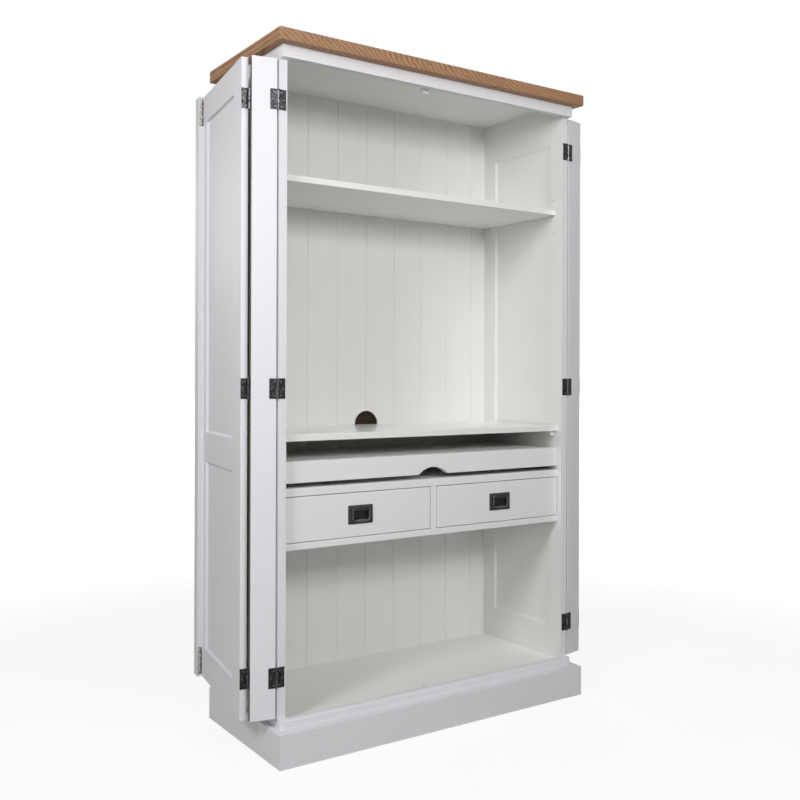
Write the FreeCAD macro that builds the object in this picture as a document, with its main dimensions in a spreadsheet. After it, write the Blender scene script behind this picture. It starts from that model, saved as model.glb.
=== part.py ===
import FreeCAD, Part
import math
import os
import re
import Sketcher

# A computer armoire: a painted case with an oak top, two folding doors,
# a keyboard tray and two drawers. Millimetres, +Z up, front towards -Y.
# The origin is on the floor under the middle of the plinth.

doc = FreeCAD.newDocument("Armoire")
sheet = doc.addObject("Spreadsheet::Sheet", "Sizes")
Vector = FreeCAD.Vector
Rotation = FreeCAD.Rotation
Placement = FreeCAD.Placement
upright = Vector(0, 0, 1)

sizes = {
    # oak top
    "overallHeight": 2000, "topSideOverhang": 25, "topFrontOverhang": 29.5,
    "topThick": 35, "topCore": 13, "topRound": 3, "ceilingThick": 6,
    # case sides
    "caseWidth": 1080, "sideDepth": 427, "sideThick": 24, "frontStile": 54,
    "rearStile": 78, "sideBottomRail": 120, "sideTopRail": 136,
    "midRailLow": 794, "midRailHeight": 90,
    "panelRecess": 7, "beadWidth": 6.5, "beadDepth": 6, "beadLip": 0.5,
    # back, with its grooves and cable hole
    "backThick": 12, "backInset": 4, "groovePitch": 113.5, "grooveWidth": 5,
    "grooveDepth": 2.5, "cableHoleRadius": 45,
    # plinth, floor and the two boards that frame the doors
    "plinthSideProud": 19, "plinthFrontProud": 31.5, "plinthHeight": 95,
    "plinthThick": 40, "plinthEase": 2, "bearerWidth": 60, "glueBlock": 38,
    "floorThick": 12, "baseRailHeight": 25, "baseRound": 8, "friezeHeight": 50,
    # doors
    "doorClear": 2, "doorThick": 19, "hingeGap": 2.5, "stripWidth": 71,
    "meetingGap": 3, "leafStile": 78, "leafBottomRail": 92, "leafTopRail": 83,
    "battenWidth": 40, "battenThick": 16, "stripOpenAngle": 192.4,
    "foldOpenAngle": 86.4,
    # butt hinges
    "hingeHeight": 56, "plateWidth": 20, "plateThick": 1.2, "knuckleRadius": 3,
    "knuckleOff": 0.2, "hingePinRadius": 1.25, "pinPlay": 0.05,
    "knucklePlay": 0.15, "hingeInset": 112,
    # flush bolts and their keeps
    "boltRadius": 3, "boltPlay": 0.5, "boltInset": 5, "boltLength": 74,
    "boltRetract": 2, "boltTravel": 14, "boltPlateHeight": 84, "boltPlateInset": 8,
    "boltPlateWidth": 12, "boltPlateThick": 1.5, "boltKnobRadius": 2,
    "boltKnobOut": 6, "boltKnobBack": 66, "keepSize": 15, "keepHeight": 20,
    "keepHoleRadius": 3.8, "stopWidth": 20, "stopDepth": 15, "stopDrop": 9,
    "knobHeadRadius": 3.2, "knobHeadLength": 3,
    "boltPlateRound": 5.5,
    # shelves
    "shelfThick": 18, "shelfTop": 1624, "shelfSetback": 32, "shelfPlay": 1,
    "pinRadius": 2.4, "pinOut": 9, "pinHoleRadius": 2.5, "pinHoleDepth": 10,
    "pinSeat": 0.5,
    "pinPitch": 55, "pinFromFront": 42, "pinFromBack": 48,
    "deskTop": 896, "deskThick": 19, "frontSetback": 19, "cornerBlock": 16,
    # drawer case and drawers
    "caseTopLevel": 746, "topRailHeight": 23, "railThick": 20,
    "drawerFloorLevel": 592, "bottomRailHeight": 19, "dividerThick": 22,
    "drawerGap": 2, "drawerFrontThick": 20, "drawerSideHeight": 105,
    "drawerSideLift": 18, "drawerSideThick": 12, "drawerBackRoom": 24,
    "drawerBottomThick": 5, "drawerBottomLift": 8, "drawerGroove": 6,
    # runners
    "runnerGap": 13, "runnerHeight": 28, "runnerSteel": 1.2,
    "runnerDepth": 10, "runnerBackRoom": 27, "runnerLift": 8, "runnerPlay": 0.4,
    "glideLength": 14, "glideHeight": 9,
    # keyboard tray
    "apronLow": 760, "apronHeight": 61, "apronThick": 20, "apronGap": 2,
    "trayThick": 16, "trayBackRoom": 22, "trayDrop": 2, "cleatThick": 20,
    "cleatHeight": 36, "archWidth": 110, "archHeight": 22, "archRound": 7,
    "archMargin": 25,
    # pulls: a dished plate with a swinging bail
    "pullWidth": 84, "pullHeight": 55, "pullThick": 2.5, "pullRound": 3,
    "pullBevel": 6.5, "pullEdge": 1,
    "cupWidth": 50, "cupHeight": 26, "cupDrop": 2.5, "cupDepth": 8, "cupWall": 1,
    "bailSpan": 57, "bailDrop": 34.5, "bailRadius": 2.4, "bailOff": 0.7,
    "bailBend": 9, "bailTightBend": 2.6, "swellHigh": 5, "swellDeep": 2.3,
    "swellShare": 0.3, "earRadius": 4.2, "earThick": 4,
    "earPlay": 0.15, "earGap": 0.5, "cupPlay": 0.3, "easeRadius": 1.5,
    "pivotLift": 16.5, "doorPullWidth": 55,
    "doorPullHeight": 84, "doorCupWidth": 24, "doorCupHeight": 42,
    "doorBailSpan": 40, "doorBailDrop": 50, "doorPivotLift": 27,
    "doorPullLevel": 1000,
}

sums = {
    "caseHalf": "caseWidth / 2",
    "topHalf": "caseHalf + topSideOverhang",
    "plinthHalf": "caseHalf + plinthSideProud",
    "plinthDepth": "sideDepth + hingeGap + doorThick + plinthFrontProud",
    "innerHalf": "caseHalf - sideThick",
    "caseBack": "plinthDepth / 2",
    "caseFront": "caseBack - sideDepth",
    "topUnder": "overallHeight - topThick",
    "coreUnder": "overallHeight - topCore",
    "ceilingUnder": "coreUnder - ceilingThick",
    "backOuter": "caseBack - backInset",
    "backFace": "backOuter - backThick",
    "grooveFirst": "-floor(innerHalf / groovePitch) * groovePitch",
    "grooveLeft": "grooveFirst - grooveWidth / 2",
    "grooveRight": "grooveFirst + grooveWidth / 2",
    "grooveRoot": "backFace + grooveDepth",
    "floorTop": "plinthHeight + floorThick",
    "doorInner": "caseFront - hingeGap",
    "doorOuter": "doorInner - doorThick",
    "topFront": "doorOuter - topFrontOverhang",
    "friezeLow": "ceilingUnder - friezeHeight",
    "baseRailTop": "plinthHeight + baseRailHeight",
    "doorLow": "baseRailTop + doorClear",
    "doorHigh": "friezeLow - doorClear",
    "hingeLow": "doorLow + hingeInset",
    "hingeMid": "(doorLow + doorHigh) / 2",
    "hingeHigh": "doorHigh - hingeInset",
    "stripEdge": "caseHalf - stripWidth",
    "leafOuter": "stripEdge - hingeGap",
    "leafInner": "meetingGap / 2",
    "caseAxisX": "caseHalf + knuckleRadius + knuckleOff",
    "caseAxisY": "caseFront - hingeGap / 2",
    "foldAxisX": "stripEdge - hingeGap / 2",
    "foldAxisY": "doorOuter - knuckleRadius - knuckleOff",
    "boltX": "leafInner + battenWidth - boltInset",
    "boltY": "doorInner + battenThick / 2",
    "boltPlateHigh": "doorHigh - boltPlateInset",
    "boltPlateLow": "boltPlateHigh - boltPlateHeight",
    "innerFront": "caseFront + frontSetback",
    "shelfFront": "caseFront + shelfSetback",
    "deskUnder": "deskTop - deskThick",
    "shelfUnder": "shelfTop - shelfThick",
    "dividerHalf": "dividerThick / 2",
    "caseTopUnder": "caseTopLevel - topRailHeight",
    "drawerLow": "drawerFloorLevel + drawerGap",
    "drawerHigh": "caseTopUnder - drawerGap",
    "drawerBack": "innerFront + drawerFrontThick",
    "boxLow": "drawerLow + drawerSideLift",
    "boxEnd": "backFace - drawerBackRoom",
    "runnerLength": "backFace - runnerBackRoom - drawerBack",
    "apronTop": "apronLow + apronHeight",
    "trayTop": "apronTop - trayDrop",
    "trayUnder": "trayTop - trayThick",
    "cleatLow": "trayUnder - cleatHeight",
    "trayFront": "innerFront + apronThick",
    "apronHalf": "innerHalf - apronGap",
    "archHalf": "archWidth / 2",
    "apronMiddle": "archHalf + archMargin",
    "archRadius": "(archHalf ^ 2 + archHeight ^ 2) / (2 * archHeight)",
    "archCentre": "apronLow + archHeight - archRadius",
    "drawerPullX": "(innerHalf + dividerHalf) / 2",
    "drawerPullZ": "(drawerLow + drawerHigh) / 2",
    "doorPullX": "leafInner + leafStile / 2",
    "caseHingeReach": "knuckleRadius + knuckleOff + plateWidth",
    "foldHingeReach": "knuckleRadius + knuckleOff + doorThick",
    "pullPivotY": "-(pullThick + bailOff + bailRadius)",
}


def fillSheet():
    rows = list(sizes.items())
    rows += [(name, "=" + text) for name, text in sums.items()]
    for row, (name, value) in enumerate(rows, 1):
        sheet.set(f"A{row}", name)
        sheet.set(f"B{row}", str(value))
        sheet.setAlias(f"B{row}", name)
    doc.recompute()


def size(name):
    return float(sheet.get(name))


def bind(piece, field, text):
    def inSheet(word):
        known = word.group() in sizes or word.group() in sums
        return "Sizes." + word.group() if known else word.group()

    piece.setExpression(field, re.sub(r"[A-Za-z]\w*", inSheet, text))


def bindPlace(piece, x, y, z):
    for axis, text in zip("xyz", (x, y, z)):
        bind(piece, "Placement.Base." + axis, text)


# --- plain shapes, each placed by the faces that it runs between

def board(name, x, y, z):
    piece = doc.addObject("Part::Box", name)
    for side, span in zip(("Length", "Width", "Height"), (x, y, z)):
        bind(piece, side, f"{span[1]} - ({span[0]})")
    bindPlace(piece, x[0], y[0], z[0])
    return piece


def rod(name, centre, radius, length, turn=Rotation()):
    piece = doc.addObject("Part::Cylinder", name)
    bind(piece, "Radius", radius)
    bind(piece, "Height", length)
    piece.Placement = Placement(Vector(), turn)
    bindPlace(piece, *centre)
    return piece


def group(name, pieces, place=None):
    compound = doc.addObject("Part::Compound", name)
    compound.Links = pieces
    if place is not None:
        compound.Placement = place
    return compound


def cutAway(name, base, tools):
    result = doc.addObject("Part::Cut", name)
    result.Base = base
    result.Tool = tools[0] if len(tools) == 1 else group(name + "Tools", tools)
    return result


def joined(name, pieces):
    result = doc.addObject("Part::MultiFuse", name)
    result.Shapes = pieces
    return result


def rounded(name, base, radius, isRound):
    doc.recompute()
    chosen = [i for i, edge in enumerate(base.Shape.Edges, 1) if isRound(edge)]
    result = doc.addObject("Part::Fillet", name)
    result.Base = base
    result.Edges = [(i, size(radius), size(radius)) for i in chosen]
    return result


alongX = Rotation(Vector(0, 1, 0), 90)
alongY = Rotation(Vector(1, 0, 0), -90)


# --- bodies drawn as sketches; a corner is a pair of names from the sheet

def value(name):
    if name == "0":
        return 0.0
    return -size(name[1:]) if name.startswith("-") else size(name)


def sketchOn(body, name, role, offset):
    sketch = body.newObject("Sketcher::SketchObject", name)
    plane = [part for part in body.Origin.OriginFeatures if part.Role == role]
    sketch.AttachmentSupport = [(plane[0], "")]
    sketch.MapMode = "FlatFace"
    bind(sketch, "AttachmentOffset.Base.z", offset)
    return sketch


def tie(sketch, kind, ends, name):
    number = sketch.addConstraint(Sketcher.Constraint(kind, *ends, value(name)))
    label = f"tie{number}"
    sketch.renameConstraint(number, label)
    bind(sketch, "Constraints." + label, name)


def tiePoint(sketch, line, point, corner):
    for kind, name, axis in zip(("DistanceX", "DistanceY"), corner, (-2, -1)):
        if name == "0":
            sketch.addConstraint(Sketcher.Constraint("PointOnObject", line, point, axis))
        else:
            tie(sketch, kind, (-1, 1, line, point), name)


def drawOutline(sketch, corners):
    spots = [Vector(value(x), value(y), 0) for x, y in corners]
    for start, end in zip(spots, spots[1:] + spots[:1]):
        sketch.addGeometry(Part.LineSegment(start, end), False)
    for line, corner in enumerate(corners):
        following = (line + 1) % len(corners)
        sketch.addConstraint(Sketcher.Constraint("Coincident", line, 2, following, 1))
        tiePoint(sketch, line, 1, corner)


def drawCircle(sketch, centre, radius):
    spot = Vector(value(centre[0]), value(centre[1]), 0)
    sketch.addGeometry(Part.Circle(spot, upright, size(radius)), False)
    tiePoint(sketch, 0, 3, centre)
    tie(sketch, "Radius", (0,), radius)


def rectangle(x, y):
    return [(x[0], y[0]), (x[1], y[0]), (x[1], y[1]), (x[0], y[1])]


def drawnBody(name, role, corners, offset, length):
    body = doc.addObject("PartDesign::Body", name)
    sketch = sketchOn(body, name + "Outline", role, offset)
    drawOutline(sketch, corners)
    pad = body.newObject("PartDesign::Pad", name + "Pad")
    pad.Profile = sketch
    bind(pad, "Length", length)
    doc.recompute()
    return body


def pocketIn(body, sketch, name, length):
    pocket = body.newObject("PartDesign::Pocket", name)
    pocket.Profile = sketch
    bind(pocket, "Length", length)
    doc.recompute()
    return pocket


def filletIn(body, name, radius, isRound):
    tip = body.Tip
    chosen = [i for i, edge in enumerate(tip.Shape.Edges, 1) if isRound(edge)]
    fillet = body.newObject("PartDesign::Fillet", name)
    fillet.Base = (tip, [f"Edge{i}" for i in chosen])
    bind(fillet, "Radius", radius)
    doc.recompute()
    return fillet


closeEnough = 0.01  # an edge this near to a line or a level lies on it


def runsAlong(edge, axis):
    """True where a straight edge keeps to one direction."""
    if len(edge.Vertexes) != 2:
        return False
    run = edge.Vertexes[1].Point - edge.Vertexes[0].Point
    return run.Length > closeEnough and run.cross(axis).Length < closeEnough


def isAt(edge, axis, level):
    return all(abs(v.Point * axis - level) < closeEnough for v in edge.Vertexes)


right = Vector(1, 0, 0)
back = Vector(0, 1, 0)

nodes = []


def node(name, pieces, place=None):
    """One named sub-part: its pieces as separate solids, put in its place."""
    label = group("node_" + name, pieces, place)
    label.Label = name
    nodes.append(label)
    return label


def mirrored(name, source):
    twin = doc.addObject("Part::Mirroring", "node_" + name)
    twin.Source = source
    twin.Normal = right
    twin.Label = name
    nodes.append(twin)
    return twin


def turnAbout(x, y, angle):
    return Placement(Vector(), Rotation(upright, angle), Vector(x, y, 0))


# --- oak top, ceiling and the boards round the door opening

def makeTop():
    body = drawnBody("OakTop", "XY_Plane",
                     rectangle(("-topHalf", "topHalf"), ("topFront", "caseBack")),
                     "topUnder", "topThick")
    recess = sketchOn(body, "TopRecessOutline", "XY_Plane", "coreUnder")
    drawOutline(recess, rectangle(("-caseHalf", "caseHalf"), ("doorOuter", "caseBack")))
    pocketIn(body, recess, "TopRecess", "topThick - topCore")

    def outerEdge(edge):
        atRim = isAt(edge, back, size("topFront"))
        atRim = atRim or isAt(edge, right, size("topHalf"))
        atRim = atRim or isAt(edge, right, -size("topHalf"))
        return atRim or isAt(edge, upright, size("overallHeight"))

    filletIn(body, "TopRounding", "topRound", outerEdge)
    node("oak_top", [body])
    node("ceiling_panel", [board("Ceiling", ("-caseHalf", "caseHalf"),
                                 ("doorOuter", "backOuter"),
                                 ("ceilingUnder", "coreUnder"))])
    node("frieze", [board("Frieze", ("-caseHalf", "caseHalf"),
                          ("doorOuter", "caseFront"), ("friezeLow", "ceilingUnder"))])


def makePlinth():
    outer = ("-plinthHalf", "plinthHalf")
    frontBack = ("-plinthDepth / 2", "plinthDepth / 2")
    tall = ("0", "plinthHeight")
    between = (frontBack[0] + " + plinthThick", frontBack[1] + " - plinthThick")
    boards = [
        board("PlinthFront", outer, (frontBack[0], between[0]), tall),
        board("PlinthBack", outer, (between[1], frontBack[1]), tall),
        board("PlinthLeft", (outer[0], outer[0] + " + plinthThick"), between, tall),
        board("PlinthRight", (outer[1] + " - plinthThick", outer[1]), between, tall),
    ]
    soft = [rounded(piece.Name + "Eased", piece, "plinthEase",
                    lambda edge: isAt(edge, upright, size("plinthHeight"))
                    and isOnPlinthRim(edge)) for piece in boards]
    node("plinth_boards", soft)
    node("plinth_bearer", [board("Bearer", ("-bearerWidth / 2", "bearerWidth / 2"),
                                 between, tall)])
    blocks = []
    for across in (-1, 1):
        for along in (-1, 1):
            blocks.append(glueBlock(across, along))
    node("plinth_blocks", blocks)


def isOnPlinthRim(edge):
    onSide = isAt(edge, right, size("plinthHalf"))
    onSide = onSide or isAt(edge, right, -size("plinthHalf"))
    onFront = isAt(edge, back, -size("plinthDepth") / 2)
    return onSide or onFront or isAt(edge, back, size("plinthDepth") / 2)


def spanBeside(face, sign, thick):
    """The two faces of a piece that lies inwards of a face on one side."""
    if sign > 0:
        return (f"{face} - {thick}", face)
    return (f"-({face})", f"-({face}) + {thick}")


def glueBlock(across, along):
    x = spanBeside("plinthHalf - plinthThick", across, "glueBlock")
    y = spanBeside("plinthDepth / 2 - plinthThick", along, "glueBlock")
    return board("GlueBlock", x, y, ("plinthHeight - glueBlock * 2", "plinthHeight"))


def makeFloor():
    node("floor_panel", [board("Floor", ("-innerHalf", "innerHalf"),
                               ("caseFront", "backFace"),
                               ("plinthHeight", "floorTop"))])
    rail = board("BaseRail", ("-caseHalf", "caseHalf"), ("doorOuter", "caseFront"),
                 ("plinthHeight", "baseRailTop"))

    def frontRim(edge):
        onFront = isAt(edge, back, size("doorOuter"))
        return onFront and not isAt(edge, upright, size("plinthHeight"))

    node("base_rail", [rounded("BaseRailRounded", rail, "baseRound", frontRim)])


def makeBack():
    body = drawnBody("Back", "XZ_Plane",
                     rectangle(("-innerHalf", "innerHalf"),
                               ("plinthHeight", "ceilingUnder")),
                     "-backOuter", "backThick")
    groove = sketchOn(body, "GrooveOutline", "XY_Plane", "ceilingUnder")
    drawOutline(groove, [("grooveLeft", "backFace"), ("grooveRight", "backFace"),
                         ("grooveFirst", "grooveRoot")])
    cut = pocketIn(body, groove, "Groove", "ceilingUnder - plinthHeight")
    rowOf = body.newObject("PartDesign::LinearPattern", "Grooves")
    rowOf.Originals = [cut]
    rowOf.Direction = (groove, ["H_Axis"])
    bind(rowOf, "Length", "-2 * grooveFirst")
    rowOf.Occurrences = 1 + round(-2 * size("grooveFirst") / size("groovePitch"))
    body.Tip = rowOf
    doc.recompute()
    hole = sketchOn(body, "CableHoleOutline", "XZ_Plane", "-backFace")
    drawCircle(hole, ("0", "deskTop"), "cableHoleRadius")
    pocketIn(body, hole, "CableHole", "backThick")
    node("back_panel", [body])


# --- frame and panel: two stiles, three rails, two panels and their beads

def bead(name, x, y, z, wideAt):
    """A mitred bead inside one opening, sloping down to the panel."""
    block = board(name + "Block", x, y, z)
    throat = doc.addObject("Part::Wedge", name + "Throat")
    wide, narrow = ("", "2") if wideAt == "low" else ("2", "")
    for suffix, inset in ((wide, "beadLip"), (narrow, "beadWidth")):
        for axis, span in (("X", x), ("Z", z)):
            low = f"{axis}{suffix}min" if suffix else f"{axis}min"
            high = f"{axis}{suffix}max" if suffix else f"{axis}max"
            bind(throat, low, f"{span[0]} + {inset}")
            bind(throat, high, f"{span[1]} - {inset}")
    bind(throat, "Ymin", y[0])
    bind(throat, "Ymax", y[1])
    return cutAway(name, block, [throat])


def framedPanel(name, x, y, z, stiles, rails):
    """A frame in its closed place, as lists of boards, panels and beads."""
    inside = (f"{x[0]} + {stiles[0]}", f"{x[1]} - {stiles[1]}")
    midRail = ("midRailLow", "midRailLow + midRailHeight")
    low = (f"{z[0]} + {rails[0]}", midRail[0])
    high = (midRail[1], f"{z[1]} - {rails[1]}")
    frame = [
        board(name + "StileA", (x[0], inside[0]), y, z),
        board(name + "StileB", (inside[1], x[1]), y, z),
        board(name + "RailLow", inside, y, (z[0], low[0])),
        board(name + "RailMid", inside, y, midRail),
        board(name + "RailHigh", inside, y, (high[1], z[1])),
    ]
    faces = (f"{y[0]} + panelRecess", f"{y[1]} - panelRecess")
    panels = []
    beads = []
    for level, opening in (("Low", low), ("High", high)):
        panels.append(board(name + "Panel" + level, inside, faces, opening))
        beads.append(bead(name + "BeadOut" + level, inside,
                          (f"{faces[0]} - beadDepth", faces[0]), opening, "low"))
        beads.append(bead(name + "BeadIn" + level, inside,
                          (faces[1], f"{faces[1]} + beadDepth"), opening, "high"))
    return frame, panels, beads


def makeSides():
    """Drawn as if its depth ran along X, then turned a quarter round."""
    depth = ("caseFront", "caseBack")
    frame, panels, beads = framedPanel(
        "Side", depth, ("innerHalf", "caseHalf"), ("plinthHeight", "ceilingUnder"),
        ("frontStile", "rearStile"), ("sideBottomRail", "sideTopRail"))
    holes = []
    for place in ("caseFront + pinFromFront", "caseBack - pinFromBack"):
        for step in ("-1", "0", "1"):
            level = f"shelfUnder - pinRadius + {step} * pinPitch"
            holes.append(rod("PinHole", (place, "innerHalf", level),
                             "pinHoleRadius", "pinHoleDepth", alongY))
    for index, stile in enumerate(frame[:2]):
        frame[index] = cutAway(f"DrilledStile{index}", stile,
                               holes[3 * index:3 * index + 3])
    quarter = turnAbout(0, 0, 90)
    leftFrame = node("left_side_frame", frame, quarter)
    mirrored("right_side_frame", leftFrame)
    bothSides("side_panels", panels, quarter)
    bothSides("side_beads", beads, quarter)


def bothSides(name, pieces, place=None):
    """One node that holds left pieces and their mirror images."""
    left = group("left_" + name, pieces, place)
    twin = doc.addObject("Part::Mirroring", "right_" + name)
    twin.Source = left
    twin.Normal = right
    return node(name, [left, twin])


def easedFront(piece, face):
    """The long front edges of a board, rubbed round before it is painted."""
    return rounded(piece.Name + "Eased", piece, "easeRadius",
                   lambda edge: runsAlong(edge, right) and isAt(edge, back, size(face)))


# --- shelves

def makeShelves():
    width = ("-innerHalf + shelfPlay", "innerHalf - shelfPlay")
    upper = board("UpperShelf", width, ("shelfFront", "backFace - shelfPlay"),
                  ("shelfUnder", "shelfTop"))
    node("upper_shelf", [easedFront(upper, "shelfFront")])
    pins = []
    for place in ("caseFront + pinFromFront", "caseBack - pinFromBack"):
        pins.append(rod("ShelfPin", ("-innerHalf - pinHoleDepth + pinSeat", place,
                                     "shelfUnder - pinRadius"),
                        "pinRadius", "pinOut + pinHoleDepth - pinSeat", alongX))
    bothSides("shelf_pins", pins)
    desk = board("DeskShelf", ("-innerHalf", "innerHalf"), ("innerFront", "backFace"),
                 ("deskUnder", "deskTop"))
    node("desk_shelf", [easedFront(desk, "innerFront")])
    blocks = []
    for start in ("innerFront + cornerBlock", "backFace - 3 * cornerBlock"):
        blocks.append(board("CornerBlock", ("-innerHalf", "-innerHalf + cornerBlock"),
                            (start, start + " + cornerBlock"),
                            ("deskUnder - cornerBlock", "deskUnder")))
    bothSides("shelf_blocks", blocks)


# --- drawer case, runners and drawers

def makeDrawerCase():
    full = ("-innerHalf", "innerHalf")
    rail = ("innerFront", "innerFront + railThick")
    behind = (rail[1], "backFace")
    upper = ("caseTopUnder", "caseTopLevel")
    lower = ("drawerFloorLevel - bottomRailHeight", "drawerFloorLevel")
    rails = [board("TopRail", full, rail, upper), board("BottomRail", full, rail, lower)]
    node("drawer_rails", [easedFront(piece, "innerFront") for piece in rails])
    node("drawer_case_boards", [board("CaseTop", full, behind, upper),
                                board("CaseFloor", full, behind, lower)])
    node("drawer_divider", [board("Divider", ("-dividerHalf", "dividerHalf"),
                                  ("innerFront", "backFace"),
                                  ("drawerFloorLevel", "caseTopUnder"))])


def runnerSpan(wall, sign, near, far):
    """The two X faces of something between two distances from a wall."""
    if sign > 0:
        return (f"{wall} + {near}", f"{wall} + {far}")
    return (f"{wall} - ({far})", f"{wall} - ({near})")


def makeRunners():
    """Channels on the case, and the angles that slide in them."""
    walls = (("-innerHalf", 1, "boxLow", "drawerBack"),
             ("-dividerHalf", -1, "boxLow", "drawerBack"),
             ("-innerHalf", 1, "cleatLow", "trayFront"))
    channels = []
    glides = []
    for wall, sign, low, start in walls:
        steel, glide = channel(wall, sign, low, start)
        channels.append(steel)
        glides.append(glide)
    bothSides("case_runners", channels)
    bothSides("runner_glides", glides)
    left = [slider(*wall) for wall in walls[:2]]
    leftNode = node("left_drawer_runners", left)
    mirrored("right_drawer_runners", leftNode)
    bothSides("tray_runners", [slider(*walls[2])])


def channel(wall, sign, sideLow, start):
    """A steel channel on a wall, open towards the drawer, with its glide."""
    low = f"{sideLow} - runnerLift"
    top = f"{low} + runnerHeight"
    long = (start, f"{start} + runnerLength")
    deep = runnerSpan(wall, sign, "0", "runnerDepth")
    web = board("ChannelWeb", runnerSpan(wall, sign, "0", "runnerSteel"), long,
                (low, top))
    foot = board("ChannelFoot", deep, long, (low, f"{low} + runnerSteel"))
    cap = board("ChannelCap", deep, long, (f"{top} - runnerSteel", top))
    glide = board("ChannelGlide",
                  runnerSpan(wall, sign, "runnerSteel", "runnerDepth - runnerSteel"),
                  (start, f"{start} + glideLength"),
                  (f"{low} + runnerSteel", f"{low} + runnerSteel + glideHeight"))
    return joined("Channel", [web, foot, cap]), glide


def slider(wall, sign, sideLow, start):
    """The angle under a side, its lip over the glide, a glide at its end."""
    low = f"{sideLow} - runnerLift"
    bed = f"{low} + runnerSteel + glideHeight + runnerPlay"
    long = (start, f"{start} + runnerLength - glideLength")
    flank = runnerSpan(wall, sign, "runnerGap - runnerSteel", "runnerGap")
    lip = board("SliderLip",
                runnerSpan(wall, sign, "runnerSteel + runnerPlay", "runnerGap"),
                long, (bed, f"{bed} + runnerSteel"))
    web = board("SliderWeb", flank, long,
                (f"{sideLow} - runnerSteel", f"{low} + runnerHeight"))
    foot = board("SliderFoot",
                 runnerSpan(wall, sign, "runnerGap - runnerSteel",
                            "runnerGap + runnerDepth"),
                 long, (f"{sideLow} - runnerSteel", sideLow))
    tail = board("SliderGlide",
                 runnerSpan(wall, sign, "runnerSteel + runnerPlay",
                            "runnerDepth - runnerSteel"),
                 (f"{long[1]} - glideLength", long[1]),
                 (f"{low} + runnerSteel + runnerPlay", bed))
    return joined("Slider", [lip, web, foot, tail])


def makeDrawers():
    x = ("-innerHalf + drawerGap", "-dividerHalf - drawerGap")
    face = board("DrawerFace", x, ("innerFront", "drawerBack"),
                 ("drawerLow", "drawerHigh"))
    eased = rounded("DrawerFaceEased", face, "easeRadius",
                    lambda edge: isAt(edge, back, size("innerFront")))
    cup = pullRecess("-drawerPullX", "innerFront", "drawerPullZ",
                     "cupWidth", "cupHeight")
    front = node("left_drawer_front", [cutAway("DrawerFront", eased, [cup])])
    outer = ("-innerHalf + runnerGap", "-dividerHalf - runnerGap")
    inner = (f"{outer[0]} + drawerSideThick", f"{outer[1]} - drawerSideThick")
    deep = ("drawerBack", "boxEnd")
    tall = ("boxLow", "boxLow + drawerSideHeight")
    floor = ("boxLow + drawerBottomLift",
             "boxLow + drawerBottomLift + drawerBottomThick")
    bottomX = (f"{outer[0]} + drawerGroove", f"{outer[1]} - drawerGroove")
    slots = board("BottomSlot", bottomX, deep, floor)
    sides = [board("DrawerSideA", (outer[0], inner[0]), deep, tall),
             board("DrawerSideB", (inner[1], outer[1]), deep, tall)]
    grooved = [cutAway(side.Name + "Grooved", side, [slots]) for side in sides]
    tailBoard = board("DrawerTail", inner, ("boxEnd - drawerSideThick", "boxEnd"),
                      (floor[1], tall[1]))
    box = node("left_drawer_box", grooved + [tailBoard])
    bottom = node("left_drawer_bottom", [board("DrawerBottom", bottomX, deep, floor)])
    mirrored("right_drawer_front", front)
    mirrored("right_drawer_box", box)
    mirrored("right_drawer_bottom", bottom)


def pullRecess(x, face, z, width, height):
    """Where the dish of a pull sinks into a front."""
    halfX = f"({width} / 2 + cupWall + cupPlay)"
    halfZ = f"({height} / 2 + cupWall + cupPlay)"
    return board("PullRecess", (f"{x} - {halfX}", f"{x} + {halfX}"),
                 (face, f"{face} + cupDepth + cupPlay"),
                 (f"{z} - cupDrop - {halfZ}", f"{z} - cupDrop + {halfZ}"))


# --- keyboard tray

def makeTray():
    """The apron is glued up end to end; its middle length has the finger arch."""
    tall = ("apronLow", "apronTop")
    thick = ("innerFront", "trayFront")
    body = drawnBody("Apron", "XZ_Plane",
                     rectangle(("-apronMiddle", "apronMiddle"), tall),
                     "-trayFront", "apronThick")
    arch = sketchOn(body, "ArchOutline", "XZ_Plane", "-innerFront")
    drawCircle(arch, ("0", "archCentre"), "archRadius")
    pocketIn(body, arch, "Arch", "apronThick")
    filletIn(body, "ArchFeet", "archRound",
             lambda edge: runsAlong(edge, back)
             and isAt(edge, upright, size("apronLow"))
             and abs(edge.Vertexes[0].Point.x) < size("apronMiddle") - closeEnough)
    filletIn(body, "ApronEased", "easeRadius",
             lambda edge: isAt(edge, back, size("innerFront"))
             and not runsAlong(edge, upright))
    lengths = [board("ApronLeft", ("-apronHalf", "-apronMiddle"), thick, tall),
               board("ApronRight", ("apronMiddle", "apronHalf"), thick, tall)]
    node("tray_apron", [body] + [easedFront(piece, "innerFront") for piece in lengths])
    outer = ("-innerHalf + runnerGap", "innerHalf - runnerGap")
    deep = ("trayFront", "backFace - trayBackRoom")
    cleat = board("Cleat", (outer[0], f"{outer[0]} + cleatThick"), deep,
                  ("cleatLow", "trayUnder"))
    twin = doc.addObject("Part::Mirroring", "CleatTwin")
    twin.Source = cleat
    twin.Normal = right
    node("tray_board", [board("TrayBoard", outer, deep, ("trayUnder", "trayTop")),
                        cleat, twin])


# --- pulls: a dished plate with two ears, and the bail that swings in them

def about(middle, half):
    return (f"{middle} - {half}", f"{middle} + {half}")


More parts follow.
